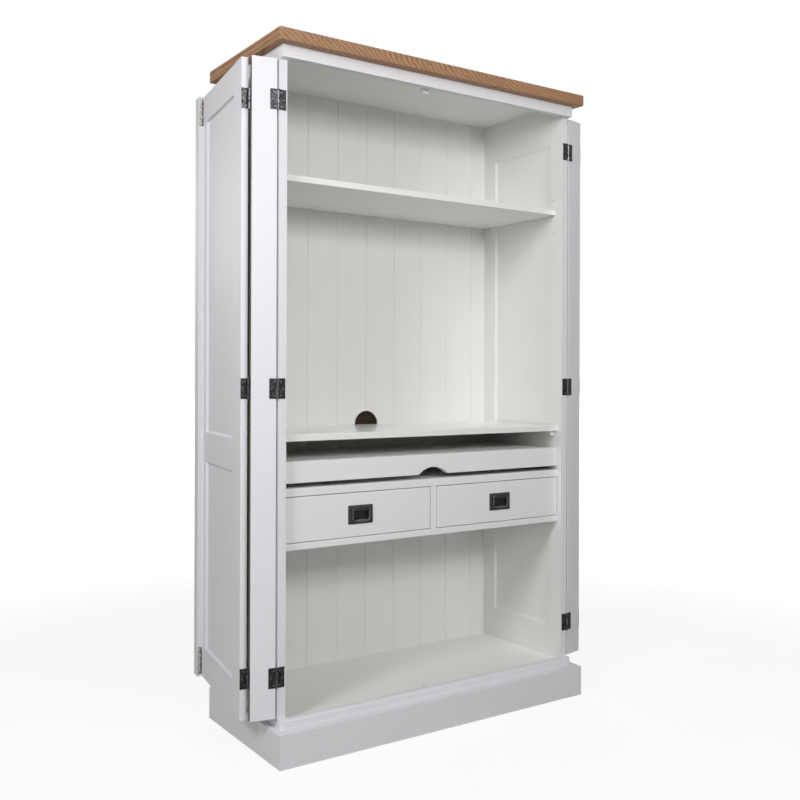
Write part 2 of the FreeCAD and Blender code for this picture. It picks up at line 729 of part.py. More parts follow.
def bevelledSheet(name, width, height):
    """A sheet with round corners whose front falls away in a wide bevel."""
    outline = board(name + "Sheet", about("0", f"{width} / 2"),
                    ("-pullThick", "0"), about("0", f"{height} / 2"))
    outline = rounded(name + "Corners", outline, "pullRound",
                      lambda edge: runsAlong(edge, back))
    rim = board(name + "Rim", about("0", f"{width} / 2"), ("-pullEdge", "0"),
                about("0", f"{height} / 2"))
    slope = doc.addObject("Part::Wedge", name + "Slope")
    for axis, side in (("X", width), ("Z", height)):
        bind(slope, axis + "min", f"pullBevel - {side} / 2")
        bind(slope, axis + "max", f"{side} / 2 - pullBevel")
        bind(slope, axis + "2min", f"-{side} / 2")
        bind(slope, axis + "2max", f"{side} / 2")
    bind(slope, "Ymin", "-pullThick")
    bind(slope, "Ymax", "-pullEdge")
    sheetMetal = doc.addObject("Part::Common", name + "Bevelled")
    sheetMetal.Base = outline
    sheetMetal.Tool = joined(name + "Front", [rim, slope])
    return sheetMetal


def pullPlate(name, width, height, cup, span, lift):
    sheetMetal = bevelledSheet(name, width, height)
    tall = about("-cupDrop", f"({cup[1]} / 2 + cupWall)")
    dish = board(name + "Dish", about("0", f"({cup[0]} / 2 + cupWall)"),
                 ("0", "cupDepth"), tall)
    hollow = board(name + "Hollow", about("0", f"{cup[0]} / 2"),
                   ("-pullThick", "cupDepth - cupWall"),
                   about("-cupDrop", f"{cup[1]} / 2"))
    hollow = rounded(name + "HollowRound", hollow, "pullRound",
                     lambda edge: runsAlong(edge, back))
    outerEar = f"({span} / 2 - bailRadius - earGap)"
    ears = [rod(name + "EarA", (f"-{outerEar}", "pullPivotY", lift), "earRadius",
                "earThick", alongX),
            rod(name + "EarB", (f"{outerEar} - earThick", "pullPivotY", lift),
                "earRadius", "earThick", alongX)]
    bore = rod(name + "Bore", (f"-{span} / 2", "pullPivotY", lift),
               "bailRadius + earPlay", span, alongX)
    solid = joined(name + "Solid", [sheetMetal, dish] + ears)
    return cutAway(name, solid, [hollow, bore])


def corneredPath(corners):
    """A wire of straight runs and tangent arcs; a corner is (x, z, radius)."""
    spots = [Vector(x, size("pullPivotY"), z) for x, z, radius in corners]
    edges = []
    start = spots[0]
    for before, spot, after, corner in zip(spots, spots[1:], spots[2:], corners[1:]):
        inward = (before - spot).normalize()
        outward = (after - spot).normalize()
        half = inward.getAngle(outward) / 2
        reach = corner[2] / math.tan(half)
        first = spot + inward * reach
        last = spot + outward * reach
        bisector = (inward + outward).normalize()
        middle = spot + bisector * (corner[2] / math.sin(half) - corner[2])
        edges.append(Part.LineSegment(start, first).toShape())
        edges.append(Part.Arc(first, middle, last).toShape())
        start = last
    edges.append(Part.LineSegment(start, spots[-1]).toShape())
    return Part.Wire(edges)


def pullBail(name, span, drop, lift):
    """A bent rod, two pins in the ears and two arms, with a swelled grip."""
    arm = size(span) / 2
    pin = arm - size("bailRadius") - size("earGap") - size("earThick")
    high = size(lift)
    low = high - size(drop)
    leftHalf = [(-pin, high, 0), (-arm, high, size("bailTightBend")),
                (-arm, low, size("bailBend"))]
    rightHalf = [(-x, z, radius) for x, z, radius in reversed(leftHalf)]
    path = corneredPath(leftHalf + rightHalf)
    start = Vector(-pin, size("pullPivotY"), high)
    ring = Part.Wire(Part.Circle(start, right, size("bailRadius")).toShape())
    bail = doc.addObject("Part::Feature", name + "Rod")
    bail.Shape = path.makePipeShell([ring], True, False)
    swell = doc.addObject("Part::Ellipsoid", name + "Swell")
    bind(swell, "Radius1", "swellHigh")
    bind(swell, "Radius2", f"{span} * swellShare")
    bind(swell, "Radius3", "swellDeep")
    bindPlace(swell, "0", "pullPivotY", f"{lift} - {drop}")
    return joined(name, [bail, swell])


def makeDrawerPulls():
    plate = pullPlate("DrawerPull", "pullWidth", "pullHeight",
                      ("cupWidth", "cupHeight"), "bailSpan", "pivotLift")
    bail = pullBail("DrawerBail", "bailSpan", "bailDrop", "pivotLift")
    for part, piece in (("pull", plate), ("bail", bail)):
        left = node("left_drawer_" + part, [piece])
        bindPlace(left, "-drawerPullX", "innerFront", "drawerPullZ")
        mirrored("right_drawer_" + part, left)


def makeDoorPulls(leafTurn):
    plate = pullPlate("DoorPull", "doorPullWidth", "doorPullHeight",
                      ("doorCupWidth", "doorCupHeight"), "doorBailSpan",
                      "doorPivotLift")
    bail = pullBail("DoorBail", "doorBailSpan", "doorBailDrop", "doorPivotLift")
    spot = Vector(-size("doorPullX"), size("doorOuter"), size("doorPullLevel"))
    place = leafTurn * Placement(spot, Rotation())
    for part, piece in (("pull", plate), ("bail", bail)):
        left = node("left_door_" + part, [piece], place)
        mirrored("right_door_" + part, left)


# --- butt hinges: knuckles in turn along one pin

def hingePlate(name, reach, faces, ownKnuckles, bore, play):
    """Plate and knuckles in one; the axis is the local Z, the plate runs to +X."""
    leaf = board(name + "Leaf", ("0", reach), faces, ("0", "hingeHeight"))
    barrel = rod(name + "Barrel", ("0", "0", "0"), "knuckleRadius", "hingeHeight")
    tools = [rod(name + "Bore", ("0", "0", "0"), bore, "hingeHeight")]
    clear = "(knuckleRadius + knuckleOff)"
    for knuckle in range(knuckleCount):
        if knuckle not in ownKnuckles:
            low = f"{knuckle} * hingeHeight / {knuckleCount} - {play}"
            high = f"{knuckle + 1} * hingeHeight / {knuckleCount} + {play}"
            tools.append(board(name + "Gap", (f"-{clear}", clear),
                               (f"-{clear}", clear), (low, high)))
    return cutAway(name, joined(name + "Solid", [leaf, barrel]), tools)


knuckleCount = 5
hingeLevels = ("hingeLow", "hingeMid", "hingeHigh")


def hingeSet(name, reach):
    """The fixed plate with the pin, and the moving plate."""
    fixed = hingePlate(name + "Fixed", reach,
                       ("hingeGap / 2 - plateThick", "hingeGap / 2"),
                       (0, 2, 4), "hingePinRadius", "0")
    moving = hingePlate(name + "Moving", reach,
                        ("-hingeGap / 2", "-hingeGap / 2 + plateThick"),
                        (1, 3), "hingePinRadius + pinPlay", "knucklePlay")
    pin = rod(name + "Pin", ("0", "0", "0"), "hingePinRadius", "hingeHeight")
    return fixed, moving, pin


def atLevels(piece, axisX, axisY, angle):
    """The same piece at each hinge height, on one axis."""
    copies = []
    for level in hingeLevels:
        base = Vector(-size(axisX), size(axisY), size(level) - size("hingeHeight") / 2)
        place = Placement(base, Rotation(upright, angle))
        copies.append(group(piece.Name + level, [piece], place))
    return copies


def makeHinges(stripTurn, leafTurn):
    caseAxis = ("caseAxisX", "caseAxisY", 0)
    foldAxis = ("foldAxisX", "foldAxisY", 90)
    fixed, moving, pin = hingeSet("CaseHinge", "caseHingeReach")
    foldFixed, foldMoving, foldPin = hingeSet("FoldHinge", "foldHingeReach")
    bothSides("case_hinges", atLevels(fixed, *caseAxis) + atLevels(pin, *caseAxis))
    onStrip = atLevels(moving, *caseAxis)
    onStrip += atLevels(foldFixed, *foldAxis) + atLevels(foldPin, *foldAxis)
    mirrored("right_stile_hinges", node("left_stile_hinges", onStrip, stripTurn))
    onLeaf = atLevels(foldMoving, *foldAxis)
    mirrored("right_leaf_hinges", node("left_leaf_hinges", onLeaf, leafTurn))


# --- doors, drawn closed and then folded open

def makeDoors(stripTurn, leafTurn):
    thick = ("doorOuter", "doorInner")
    tall = ("doorLow", "doorHigh")
    strip = board("Strip", ("-caseHalf", "-stripEdge"), thick, tall)
    eased = rounded("StripEased", strip, "easeRadius",
                    lambda edge: isAt(edge, right, -size("caseHalf"))
                    and runsAlong(edge, upright))
    mirrored("right_stile", node("left_stile", [eased], stripTurn))
    frame, panels, beads = framedPanel(
        "Leaf", ("-leafOuter", "-leafInner"), thick, tall,
        ("leafStile", "leafStile"), ("leafBottomRail", "leafTopRail"))
    cup = pullRecess("-doorPullX", "doorOuter", "doorPullLevel",
                     "doorCupWidth", "doorCupHeight")
    frame[1] = cutAway("MeetingStile", frame[1], [cup])
    for part, pieces in (("frame", frame), ("panels", panels), ("beads", beads)):
        mirrored("right_leaf_" + part, node("left_leaf_" + part, pieces, leafTurn))


def flipped(piece):
    """The same thing at the other end of the door."""
    twin = doc.addObject("Part::Mirroring", piece.Name + "Flipped")
    twin.Source = piece
    twin.Normal = upright
    twin.Base = Vector(0, 0, (size("doorLow") + size("doorHigh")) / 2)
    return twin


def makeBolts(leafTurn):
    """Flush bolts let into the side of the meeting batten, and their keeps."""
    side = "(-leafInner - battenWidth)"
    batten = board("Batten", (side, "-leafInner"),
                   ("doorInner", "doorInner + battenThick"), ("doorLow", "doorHigh"))
    slotZ = ("doorHigh - boltKnobBack - boltKnobRadius - boltPlay",
             "doorHigh - boltKnobBack + boltTravel + boltKnobRadius + boltPlay")
    slotY = ("boltY - boltKnobRadius - boltPlay", "boltY + boltKnobRadius + boltPlay")
    slot = board("BoltSlot", (f"{side} - boltPlateThick", "-boltX"), slotY, slotZ)
    bore = rod("BoltBore", ("-boltX", "boltY", "doorHigh - boltLength - 2 * boltRetract"),
               "boltRadius + boltPlay", "boltLength + 2 * boltRetract")
    tools = [slot, bore, flipped(slot), flipped(bore)]
    node("meeting_batten", [cutAway("DrilledBatten", batten, tools)], leafTurn)
    plate = board("BoltPlate", (f"{side} - boltPlateThick", side),
                  ("boltY - boltPlateWidth / 2", "boltY + boltPlateWidth / 2"),
                  ("boltPlateLow", "boltPlateHigh"))
    plate = rounded("BoltPlateRound", plate, "boltPlateRound",
                    lambda edge: runsAlong(edge, right)
                    and isAt(edge, upright, size("boltPlateLow")))
    plate = cutAway("BoltPlateSlotted", plate, [slot])
    node("bolt_plates", [plate, flipped(plate)], leafTurn)
    shaft = rod("BoltShaft", ("-boltX", "boltY", "doorHigh - boltRetract - boltLength"),
                "boltRadius", "boltLength")
    reach = "(boltInset + boltPlateThick + boltKnobOut)"
    knobZ = "doorHigh - boltKnobBack"
    stem = rod("BoltStem", (f"-boltX - {reach}", "boltY", knobZ), "boltKnobRadius",
               reach, alongX)
    headX = f"-boltX - {reach}"
    knob = rod("BoltKnob", (headX, "boltY", knobZ), "knobHeadRadius",
               "knobHeadLength", alongX)
    bolt = joined("Bolt", [shaft, stem, knob])
    node("top_bolt", [bolt], leafTurn)
    node("bottom_bolt", [flipped(bolt)], leafTurn)


def makeKeeps():
    x = ("-boltX - keepSize / 2", "-boltX + keepSize / 2")
    y = ("caseFront", "caseFront + keepSize")
    spans = (("KeepHigh", ("friezeLow + doorClear", "friezeLow + doorClear + keepHeight")),
             ("KeepLow", ("floorTop", "baseRailTop")))
    keeps = []
    for name, z in spans:
        hole = rod(name + "Hole", ("-boltX", "boltY", z[0]), "keepHoleRadius",
                   f"{z[1]} - ({z[0]})")
        keeps.append(cutAway(name, board(name + "Block", x, y, z), [hole]))
    # behind the upper keep a lip hangs down, which stops the batten
    stop = board("Stop", ("-boltX - stopWidth / 2", "-boltX + stopWidth / 2"),
                 (y[1], f"{y[1]} + stopDepth"),
                 ("friezeLow - stopDrop", "friezeLow + doorClear + keepHeight"))
    keeps[0] = joined("KeepWithStop", [keeps[0], stop])
    node("bolt_keeps", keeps)


# --- making, checking and writing

def checkAll():
    doc.recompute()
    for part in doc.Objects:
        if "Invalid" in part.State or "Error" in part.State:
            raise RuntimeError(f"{part.Name} did not build: {part.State}")
    for part in nodes:
        if part.Shape.isNull() or not part.Shape.isValid() or not part.Shape.Solids:
            raise RuntimeError(f"{part.Label} has no valid solid")


def writeAll():
    os.makedirs("parts", exist_ok=True)
    for part in nodes:
        part.Shape.exportStep(f"parts/{part.Label}.step")
        print(part.Label, len(part.Shape.Solids), "solids")


fillSheet()
stripTurn = turnAbout(-size("caseAxisX"), size("caseAxisY"), -size("stripOpenAngle"))
leafTurn = stripTurn * turnAbout(-size("foldAxisX"), size("foldAxisY"), -size("foldOpenAngle"))
makeTop()
makeSides()
makeBack()
makeFloor()
makePlinth()
makeShelves()
makeDrawerCase()
makeRunners()
makeDrawers()
makeDrawerPulls()
makeTray()
makeDoors(stripTurn, leafTurn)
makeDoorPulls(leafTurn)
makeHinges(stripTurn, leafTurn)
makeBolts(leafTurn)
makeKeeps()
checkAll()
writeAll()
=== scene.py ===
import math

import bmesh
import bpy
from mathutils import Matrix, Vector


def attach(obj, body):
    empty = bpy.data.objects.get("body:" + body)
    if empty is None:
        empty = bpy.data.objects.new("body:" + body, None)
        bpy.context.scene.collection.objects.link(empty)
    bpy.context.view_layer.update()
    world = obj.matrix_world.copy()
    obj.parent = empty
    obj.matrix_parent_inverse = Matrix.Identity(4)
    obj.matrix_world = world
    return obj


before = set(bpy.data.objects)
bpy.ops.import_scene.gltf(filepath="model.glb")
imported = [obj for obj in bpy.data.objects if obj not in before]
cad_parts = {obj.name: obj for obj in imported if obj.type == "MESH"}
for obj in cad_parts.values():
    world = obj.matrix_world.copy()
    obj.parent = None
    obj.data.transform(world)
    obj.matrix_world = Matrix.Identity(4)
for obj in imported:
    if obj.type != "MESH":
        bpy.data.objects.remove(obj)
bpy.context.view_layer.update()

print("frame loaded:", len(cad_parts), "CAD pieces")


# How the doors stand: each leaf hangs on a strip, and both are folded open.
# Lengths in metres, for the left door; the right one is its mirror image.
doors = {
    "caseAxis": (-0.5432, -0.18825),
    "foldAxis": (-0.46775, -0.2117),     # while closed
    "stripTurn": -192.4,
    "leafTurn": -86.4,
    "low": 0.122,
    "high": 1.929,
    "leafNear": -0.4665,
    "leafFar": -0.0015,
    "outer": -0.2085,
    "inner": -0.1895,
}


# Each butt hinge has two plates, and each plate three screws: two by the
# knuckles and one between them near the outer edge.
hingeLook = {
    "levels": (0.234, 1.0255, 1.817),
    "pair": 0.0195,
    "casePlate": (0.0090, 0.0170),    # from the hinge axis along the plate
    "foldPlate": (0.0090, 0.0165),
    "head": 0.0025,
    "plate": 0.0012,
    "caseFace": -0.187,
    "stripEdge": -0.469,
}


def turnAbout(spot, degrees):
    pivot = Matrix.Translation((spot[0], spot[1], 0))
    return pivot @ Matrix.Rotation(math.radians(degrees), 4, "Z") @ pivot.inverted()


mirrorX = Matrix.Scale(-1, 4, (1, 0, 0))
stripPlace = turnAbout(doors["caseAxis"], doors["stripTurn"])
leafPlace = stripPlace @ turnAbout(doors["foldAxis"], doors["leafTurn"])
unmoved = Matrix.Identity(4)


# Shader expressions: a Value is one socket, and maths on it adds nodes.
class Value:
    def __init__(self, maker, socket):
        self.maker = maker
        self.socket = socket

    def maths(self, operation, *values):
        return self.maker.maths(operation, *values)

    def __add__(self, other):
        return self.maths("ADD", self, other)

    def __radd__(self, other):
        return self.maths("ADD", other, self)

    def __sub__(self, other):
        return self.maths("SUBTRACT", self, other)

    def __rsub__(self, other):
        return self.maths("SUBTRACT", other, self)

    def __mul__(self, other):
        return self.maths("MULTIPLY", self, other)

    def __rmul__(self, other):
        return self.maths("MULTIPLY", other, self)

    def __truediv__(self, other):
        return self.maths("DIVIDE", self, other)

    def __lt__(self, other):
        return self.maths("LESS_THAN", self, other)

    def __gt__(self, other):
        return self.maths("GREATER_THAN", self, other)


# Makes the nodes of one tree, whether a material's or the world's.
class NodeMaker:
    def __init__(self, tree):
        self.tree = tree

    def feed(self, socket, value):
        if isinstance(value, Value):
            self.tree.links.new(value.socket, socket)
        else:
            socket.default_value = value

    def node(self, kind, settings=None, values=(), output=0):
        made = self.tree.nodes.new(kind)
        for key, setting in (settings or {}).items():
            if key == "stops":
                self.setStops(made.color_ramp, setting)
            else:
                setattr(made, key, setting)
        pairs = values.items() if isinstance(values, dict) else enumerate(values)
        for key, value in pairs:
            self.feed(made.inputs[key], value)
        return Value(self, made.outputs[output])

    def setStops(self, ramp, stops):
        while len(ramp.elements) < len(stops):
            ramp.elements.new(0.5)
        for element, (spot, colour) in zip(ramp.elements, stops):
            element.position = spot
            element.color = (*colour, 1)

    def maths(self, operation, *values):
        return self.node("ShaderNodeMath", {"operation": operation}, values)

    def mixShaders(self, share, first, second):
        return self.node("ShaderNodeMixShader", None, {0: share, 1: first, 2: second})


class Finish(NodeMaker):
    def __init__(self, name, roughness=0.5, metallic=0.0):
        self.material = bpy.data.materials.new(name)
        self.material.use_nodes = True
        super().__init__(self.material.node_tree)
        self.shader = self.tree.nodes["Principled BSDF"]
        self.shader.inputs["Roughness"].default_value = roughness
        self.shader.inputs["Metallic"].default_value = metallic
        self.place = self.node("ShaderNodeTexCoord", output="Object")
        self.x, self.y, self.z = self.split(self.place)

    def split(self, vector):
        parts = self.node("ShaderNodeSeparateXYZ", None, (vector,)).socket.node
        return [Value(self, parts.outputs[i]) for i in range(3)]

    def combine(self, x, y, z):
        return self.node("ShaderNodeCombineXYZ", values=(x, y, z))

    def scaled(self, vector, stretch):
        return self.node("ShaderNodeVectorMath", {"operation": "MULTIPLY"}, (vector, stretch))

    def along(self, direction):
        return self.node("ShaderNodeVectorMath", {"operation": "DOT_PRODUCT"},
                         (self.place, direction), output="Value")

    def cloud(self, vector, scale=1.0, detail=2.0, roughness=0.5, distortion=0.0):
        return self.node("ShaderNodeTexNoise", None,
                         {"Vector": vector, "Scale": scale, "Detail": detail,
                          "Roughness": roughness, "Distortion": distortion})

    def ramp(self, value, stops):
        return self.node("ShaderNodeValToRGB", {"stops": stops}, (value,))

    def blend(self, share, first, second, how="MIX"):
        return self.node("ShaderNodeMix", {"data_type": "RGBA", "blend_type": how},
                         {0: share, 6: first, 7: second}, output=2)

    def bump(self, height, distance):
        return self.node("ShaderNodeBump", None,
                         {"Height": height, "Distance": distance, "Strength": 1.0})

    def smooth(self, value, low, high):
        return self.node("ShaderNodeMapRange", {"interpolation_type": "SMOOTHSTEP"},
                         (value, low, high, 0.0, 1.0))

    def near(self, value, spot, reach):
        return self.maths("COMPARE", value, spot, reach)

    def tinted(self, colour, tone):
        shade = self.combine(tone, tone, tone)
        return self.node("ShaderNodeVectorMath", {"operation": "MULTIPLY"}, (colour, shade))

    def mixInto(self, share, other):
        # shows the other shader over this finish, by its share
        mixed = self.mixShaders(share, Value(self, self.shader.outputs[0]), other)
        self.feed(self.tree.nodes["Material Output"].inputs["Surface"], mixed)

    def finishWith(self, colour=None, roughness=None, normal=None):
        if colour is not None:
            self.feed(self.shader.inputs["Base Color"], colour)
        if roughness is not None:
            self.feed(self.shader.inputs["Roughness"], roughness)
        if normal is not None:
            self.feed(self.shader.inputs["Normal"], normal)
        return self.material


def grey(level):
    return (level, level, level)


# Satin paint over wood: brush marks follow each board, and the joint
# lines of a frame show faintly.
paintLook = {
    "case": (0.828, 0.820, 0.850),
    # partly painted light: the fronts take a neutral white, made lighter than the case paint for
    # the light they catch
    "front": (0.865, 0.865, 0.869),
    "inside": (0.885, 0.88, 0.85),
    # painted light: a lighter copy of the inside paint for the level boards, brightened in place
    # of the light they catch
    "insideLevelLit": (0.905, 0.90, 0.875),
    "drawer": (0.83, 0.825, 0.80),
    # partly painted shade: darker than the inside paint
    "wall": (0.848, 0.846, 0.838),
    # painted shade on the strips' fold edges
    "foldEdgeShade": (0.11, 0.085, 0.068),
    "underEdge": (0.30, 0.19, 0.14),
    "foldShadeUnderEdgeDeep": 0.0003,
    # painted shade on the beads under the rails
    "ledge": (0.55, 0.545, 0.56),
    "ledgeWide": 0.0035,
    "wallMiddle": 0.528,
    "wallFront": -0.1868,
    "roughness": 0.45,
    "deskRoughness": 0.17,
    "deskRelief": 0.15,       # the desk is rubbed smooth
    "strokeLong": 7.0,        # brush marks a metre along the board
    "strokeFine": 420.0,      # and across it
    "strokeDeep": 0.00006,
    "grainLong": 2.2,
    "grainFine": 95.0,
    "grainDeep": 0.00010,
    "cloud": (2.6, 3.0, 0.6),         # scale, detail and roughness
    "speck": 140.0,
    "speckDeep": 0.00003,
    "jointWide": 0.0005,
    "jointDeep": 0.0004,
    "jointShade": 0.10,
    "tone": 0.965,            # before the marks and clouds lift it
    "cloudTone": 0.04,
    "strokeTone": 0.03,
    "grainTone": 0.02,
    "unevenGloss": 0.07,
    "glossier": 0.06,         # makes up for the mean of the uneven part
}


def brushed(finish, grain):
    stretch = [paintLook["strokeFine"]] * 3
    wood = [paintLook["grainFine"]] * 3
    for i in range(3):
        if grain[i]:
            stretch[i] = paintLook["strokeLong"]
            wood[i] = paintLook["grainLong"]
    strokes = finish.cloud(finish.scaled(finish.place, stretch), detail=3.0, roughness=0.6)
    pores = finish.cloud(finish.scaled(finish.place, wood), detail=3.0, roughness=0.55,
                         distortion=0.4)
    return strokes, pores


def paint(name, colour, grain=(0, 0, 1), other=None, crossed=None, joints=None,
          rough=paintLook["roughness"], relief=1.0):
    # crossed(finish) is 1 on the boards that run along other instead
    finish = Finish(name)
    strokes, pores = brushed(finish, grain)
    if crossed:
        mask = crossed(finish)
        strokesB, poresB = brushed(finish, other)
        strokes = strokes + (strokesB - strokes) * mask
        pores = pores + (poresB - pores) * mask
    look = paintLook
    broad = finish.cloud(finish.place, *look["cloud"])
    fine = finish.cloud(finish.place, look["speck"])
    tone = look["tone"] + broad * look["cloudTone"]
    tone = tone + strokes * look["strokeTone"] + pores * look["grainTone"]
    height = strokes * look["strokeDeep"] + pores * look["grainDeep"]
    height = height + fine * look["speckDeep"]
    if joints:
        lines = joints(finish)
        tone = tone - lines * look["jointShade"]
        height = height - lines * look["jointDeep"]
    if callable(colour):
        colour = colour(finish)
    uneven = look["unevenGloss"]
    roughness = rough - look["glossier"] + strokes * uneven + broad * uneven
    return finish.finishWith(finish.tinted(colour, tone), roughness,
                             finish.bump(height, relief))


def within(finish, value, low, high):
    return finish.maths("MULTIPLY", value > low, value < high)


# Where the rails and stiles of the case sides meet.
sideLook = {
    "stiles": (-0.133, 0.162),        # their inner edges, along Y
    "bottomRail": 0.215,
    "midRail": (0.794, 0.884),
    "topRail": 1.845,
}


def sideRails(finish):
    low = finish.z < sideLook["bottomRail"]
    middle = within(finish, finish.z, *sideLook["midRail"])
    high = finish.z > sideLook["topRail"]
    return low + middle + high


def sideCrossed(finish):
    return within(finish, finish.y, *sideLook["stiles"]) * sideRails(finish)


def sideColour(finish):
    # the walls take a warm paint on their inner faces only, a little darker than the inside
    # paint, which is partly painted shade
    inner = finish.maths("ABSOLUTE", finish.x) < paintLook["wallMiddle"]
    inner = inner * (finish.y > paintLook["wallFront"])
    return finish.blend(inner, (*paintLook["case"], 1), (*paintLook["wall"], 1))


def runFrom(finish, place, edge, side):
    # distance across a door part from one of its upright edges, on either side
    heading = place.to_3x3() @ Vector((1, 0, 0))
    start = place @ Vector((edge, doors["outer"], 0))
    heading.x *= side
    start.x *= side
    return finish.along(heading) - heading.dot(start)


def stripColour(side):
    # painted shade: the edge that faces the leaf across the fold is coloured near-black, for the
    # shade in the gap there; the underside is coloured brown
    def shadedFoldEdge(finish):
        past = runFrom(finish, stripPlace, hingeLook["stripEdge"], side)
        bottom = finish.z < doors["low"] + paintLook["foldShadeUnderEdgeDeep"]
        colour = finish.blend(bottom, (*paintLook["case"], 1), (*paintLook["underEdge"], 1))
        return finish.blend(past > -paintLook["foldShadeUnderEdgeDeep"], colour,
                            (*paintLook["foldEdgeShade"], 1))
    return shadedFoldEdge


def ledgeShadeColour(finish):
    # painted shade: the beads just under the top and middle rails are coloured darker, for the
    # rail's shade on them
    top = doors["high"] - leafLook["topRail"]
    shaded = within(finish, finish.z, top - paintLook["ledgeWide"], top)
    middle = leafLook["midLow"]
    shaded = shaded + within(finish, finish.z, middle - paintLook["ledgeWide"], middle)
    return finish.blend(shaded, (*paintLook["case"], 1), (*paintLook["ledge"], 1))


def sideJoints(finish):
    wide = paintLook["jointWide"]
    front, rear = sideLook["stiles"]
    seams = finish.near(finish.y, front, wide) + finish.near(finish.y, rear, wide)
    return seams * sideRails(finish)


leafLook = {
    "stile": 0.078,
    "bottomRail": 0.092,
    "topRail": 0.083,
    "midLow": 0.794,
    "midHigh": 0.884,
}


def leafRails(finish):
    low = finish.z < doors["low"] + leafLook["bottomRail"]
    middle = within(finish, finish.z, leafLook["midLow"], leafLook["midHigh"])
    high = finish.z > doors["high"] - leafLook["topRail"]
    return low + middle + high


def leafCrossed(side):
    far = doors["leafFar"] - doors["leafNear"] - leafLook["stile"]

    def crossed(finish):
        run = runFrom(finish, leafPlace, doors["leafNear"], side)
        return within(finish, run, leafLook["stile"], far) * leafRails(finish)
    return crossed


def leafJoints(side):
    far = doors["leafFar"] - doors["leafNear"] - leafLook["stile"]

    def lines(finish):
        run = runFrom(finish, leafPlace, doors["leafNear"], side)
        wide = paintLook["jointWide"]
        seams = finish.near(run, leafLook["stile"], wide) + finish.near(run, far, wide)
        return seams * leafRails(finish)
    return lines


plinthLook = {"sideBoards": 0.519}        # their inner faces, along X
drawerLook = {"sides": (-0.136, 0.188)}   # from end to end, along Y


def plinthCrossed(finish):
    return finish.maths("ABSOLUTE", finish.x) > plinthLook["sideBoards"]


def drawerCrossed(finish):
    # the sides of a drawer box run along Y, its ends along X
    return within(finish, finish.y, *drawerLook["sides"])


def makePaints():
    case = paintLook["case"]
    inside = paintLook["inside"]
    return {
        "uprightPaint": paint("paint_upright", case),
        "levelPaint": paint("paint_level", case, (1, 0, 0)),
        "sidePaint": paint("paint_sides", sideColour, (0, 0, 1), (0, 1, 0), sideCrossed,
                           sideJoints),
        "sidePanelPaint": paint("paint_side_panels", sideColour),
        "beadPaint": paint("paint_leaf_beads", ledgeShadeColour),
        "leftStripPaint": paint("paint_left_strip", stripColour(1)),
        "rightStripPaint": paint("paint_right_strip", stripColour(-1)),
        "leftLeafPaint": paint("paint_left_leaf", case, (0, 0, 1), (0, 1, 0),
                               leafCrossed(1), leafJoints(1)),
        "rightLeafPaint": paint("paint_right_leaf", case, (0, 0, 1), (0, 1, 0),
                                leafCrossed(-1), leafJoints(-1)),
        "plinthPaint": paint("paint_plinth", case, (1, 0, 0), (0, 1, 0), plinthCrossed),
        # partly painted light: the fronts' paint is lighter than the case paint
        "frontPaint": paint("paint_front", paintLook["front"], (1, 0, 0)),
        "insidePaint": paint("paint_inside", paintLook["insideLevelLit"], (1, 0, 0)),
        "deskPaint": paint("paint_desk", paintLook["insideLevelLit"], (1, 0, 0),
                           rough=paintLook["deskRoughness"], relief=paintLook["deskRelief"]),
        "insideUprightPaint": paint("paint_inside_upright", inside, (0, 1, 0)),
        "drawerPaint": paint("paint_drawer", paintLook["drawer"], (1, 0, 0), (0, 1, 0),
                             drawerCrossed),
    }


# The back: painted boards, with a raw edge round the cable hole.
backLook = {
    "holeHeight": 0.896,
    "holeRadius": 0.0453,
    "rawDark": (0.085, 0.045, 0.022),
    "rawPale": (0.20, 0.115, 0.06),
    "pitch": 0.1135,
    "grooveHalf": 0.0017,
    "grooveShade": 0.05,
    "tone": 0.955,
    "boardTone": 0.014,       # no two boards are quite alike
    "fibres": (60.0, 900.0, 60.0),
    "fibreDeep": 0.0004,
    "roughness": 0.36,
    "rawRougher": 0.4,
}


def makeBackPaint():
    finish = Finish("paint_back")
    strokes, pores = brushed(finish, (0, 0, 1))
    # a groove lies at every whole pitch, and a board between two of them
    board = finish.maths("FLOOR", finish.x / backLook["pitch"])
    lot = finish.node("ShaderNodeTexWhiteNoise", {"noise_dimensions": "1D"}, {"W": board})
    offGroove = finish.maths("PINGPONG", finish.x, backLook["pitch"] / 2)
    groove = offGroove < backLook["grooveHalf"]
    broad = finish.cloud(finish.place, *paintLook["cloud"])
    tone = backLook["tone"] + lot * backLook["boardTone"] + broad * paintLook["cloudTone"]
    tone = tone + strokes * paintLook["strokeTone"] + pores * paintLook["grainTone"]
    tone = tone * (1.0 - groove * backLook["grooveShade"])
    up = finish.z - backLook["holeHeight"]
    reach = finish.maths("SQRT", finish.x * finish.x + up * up)
    raw = reach < backLook["holeRadius"]
    fibres = finish.cloud(finish.scaled(finish.place, backLook["fibres"]), 1.0, 4.0, 0.7)
    bare = finish.ramp(fibres, [(0.3, backLook["rawDark"]), (0.7, backLook["rawPale"])])
    colour = finish.blend(raw, finish.tinted(paintLook["inside"], tone), bare)
    uneven = paintLook["unevenGloss"]
    roughness = backLook["roughness"] + strokes * uneven + broad * uneven
    roughness = roughness + raw * backLook["rawRougher"]
    height = strokes * paintLook["strokeDeep"] + pores * paintLook["grainDeep"]
    height = height + raw * fibres * backLook["fibreDeep"]
    return finish.finishWith(colour, roughness, finish.bump(height, 1.0))


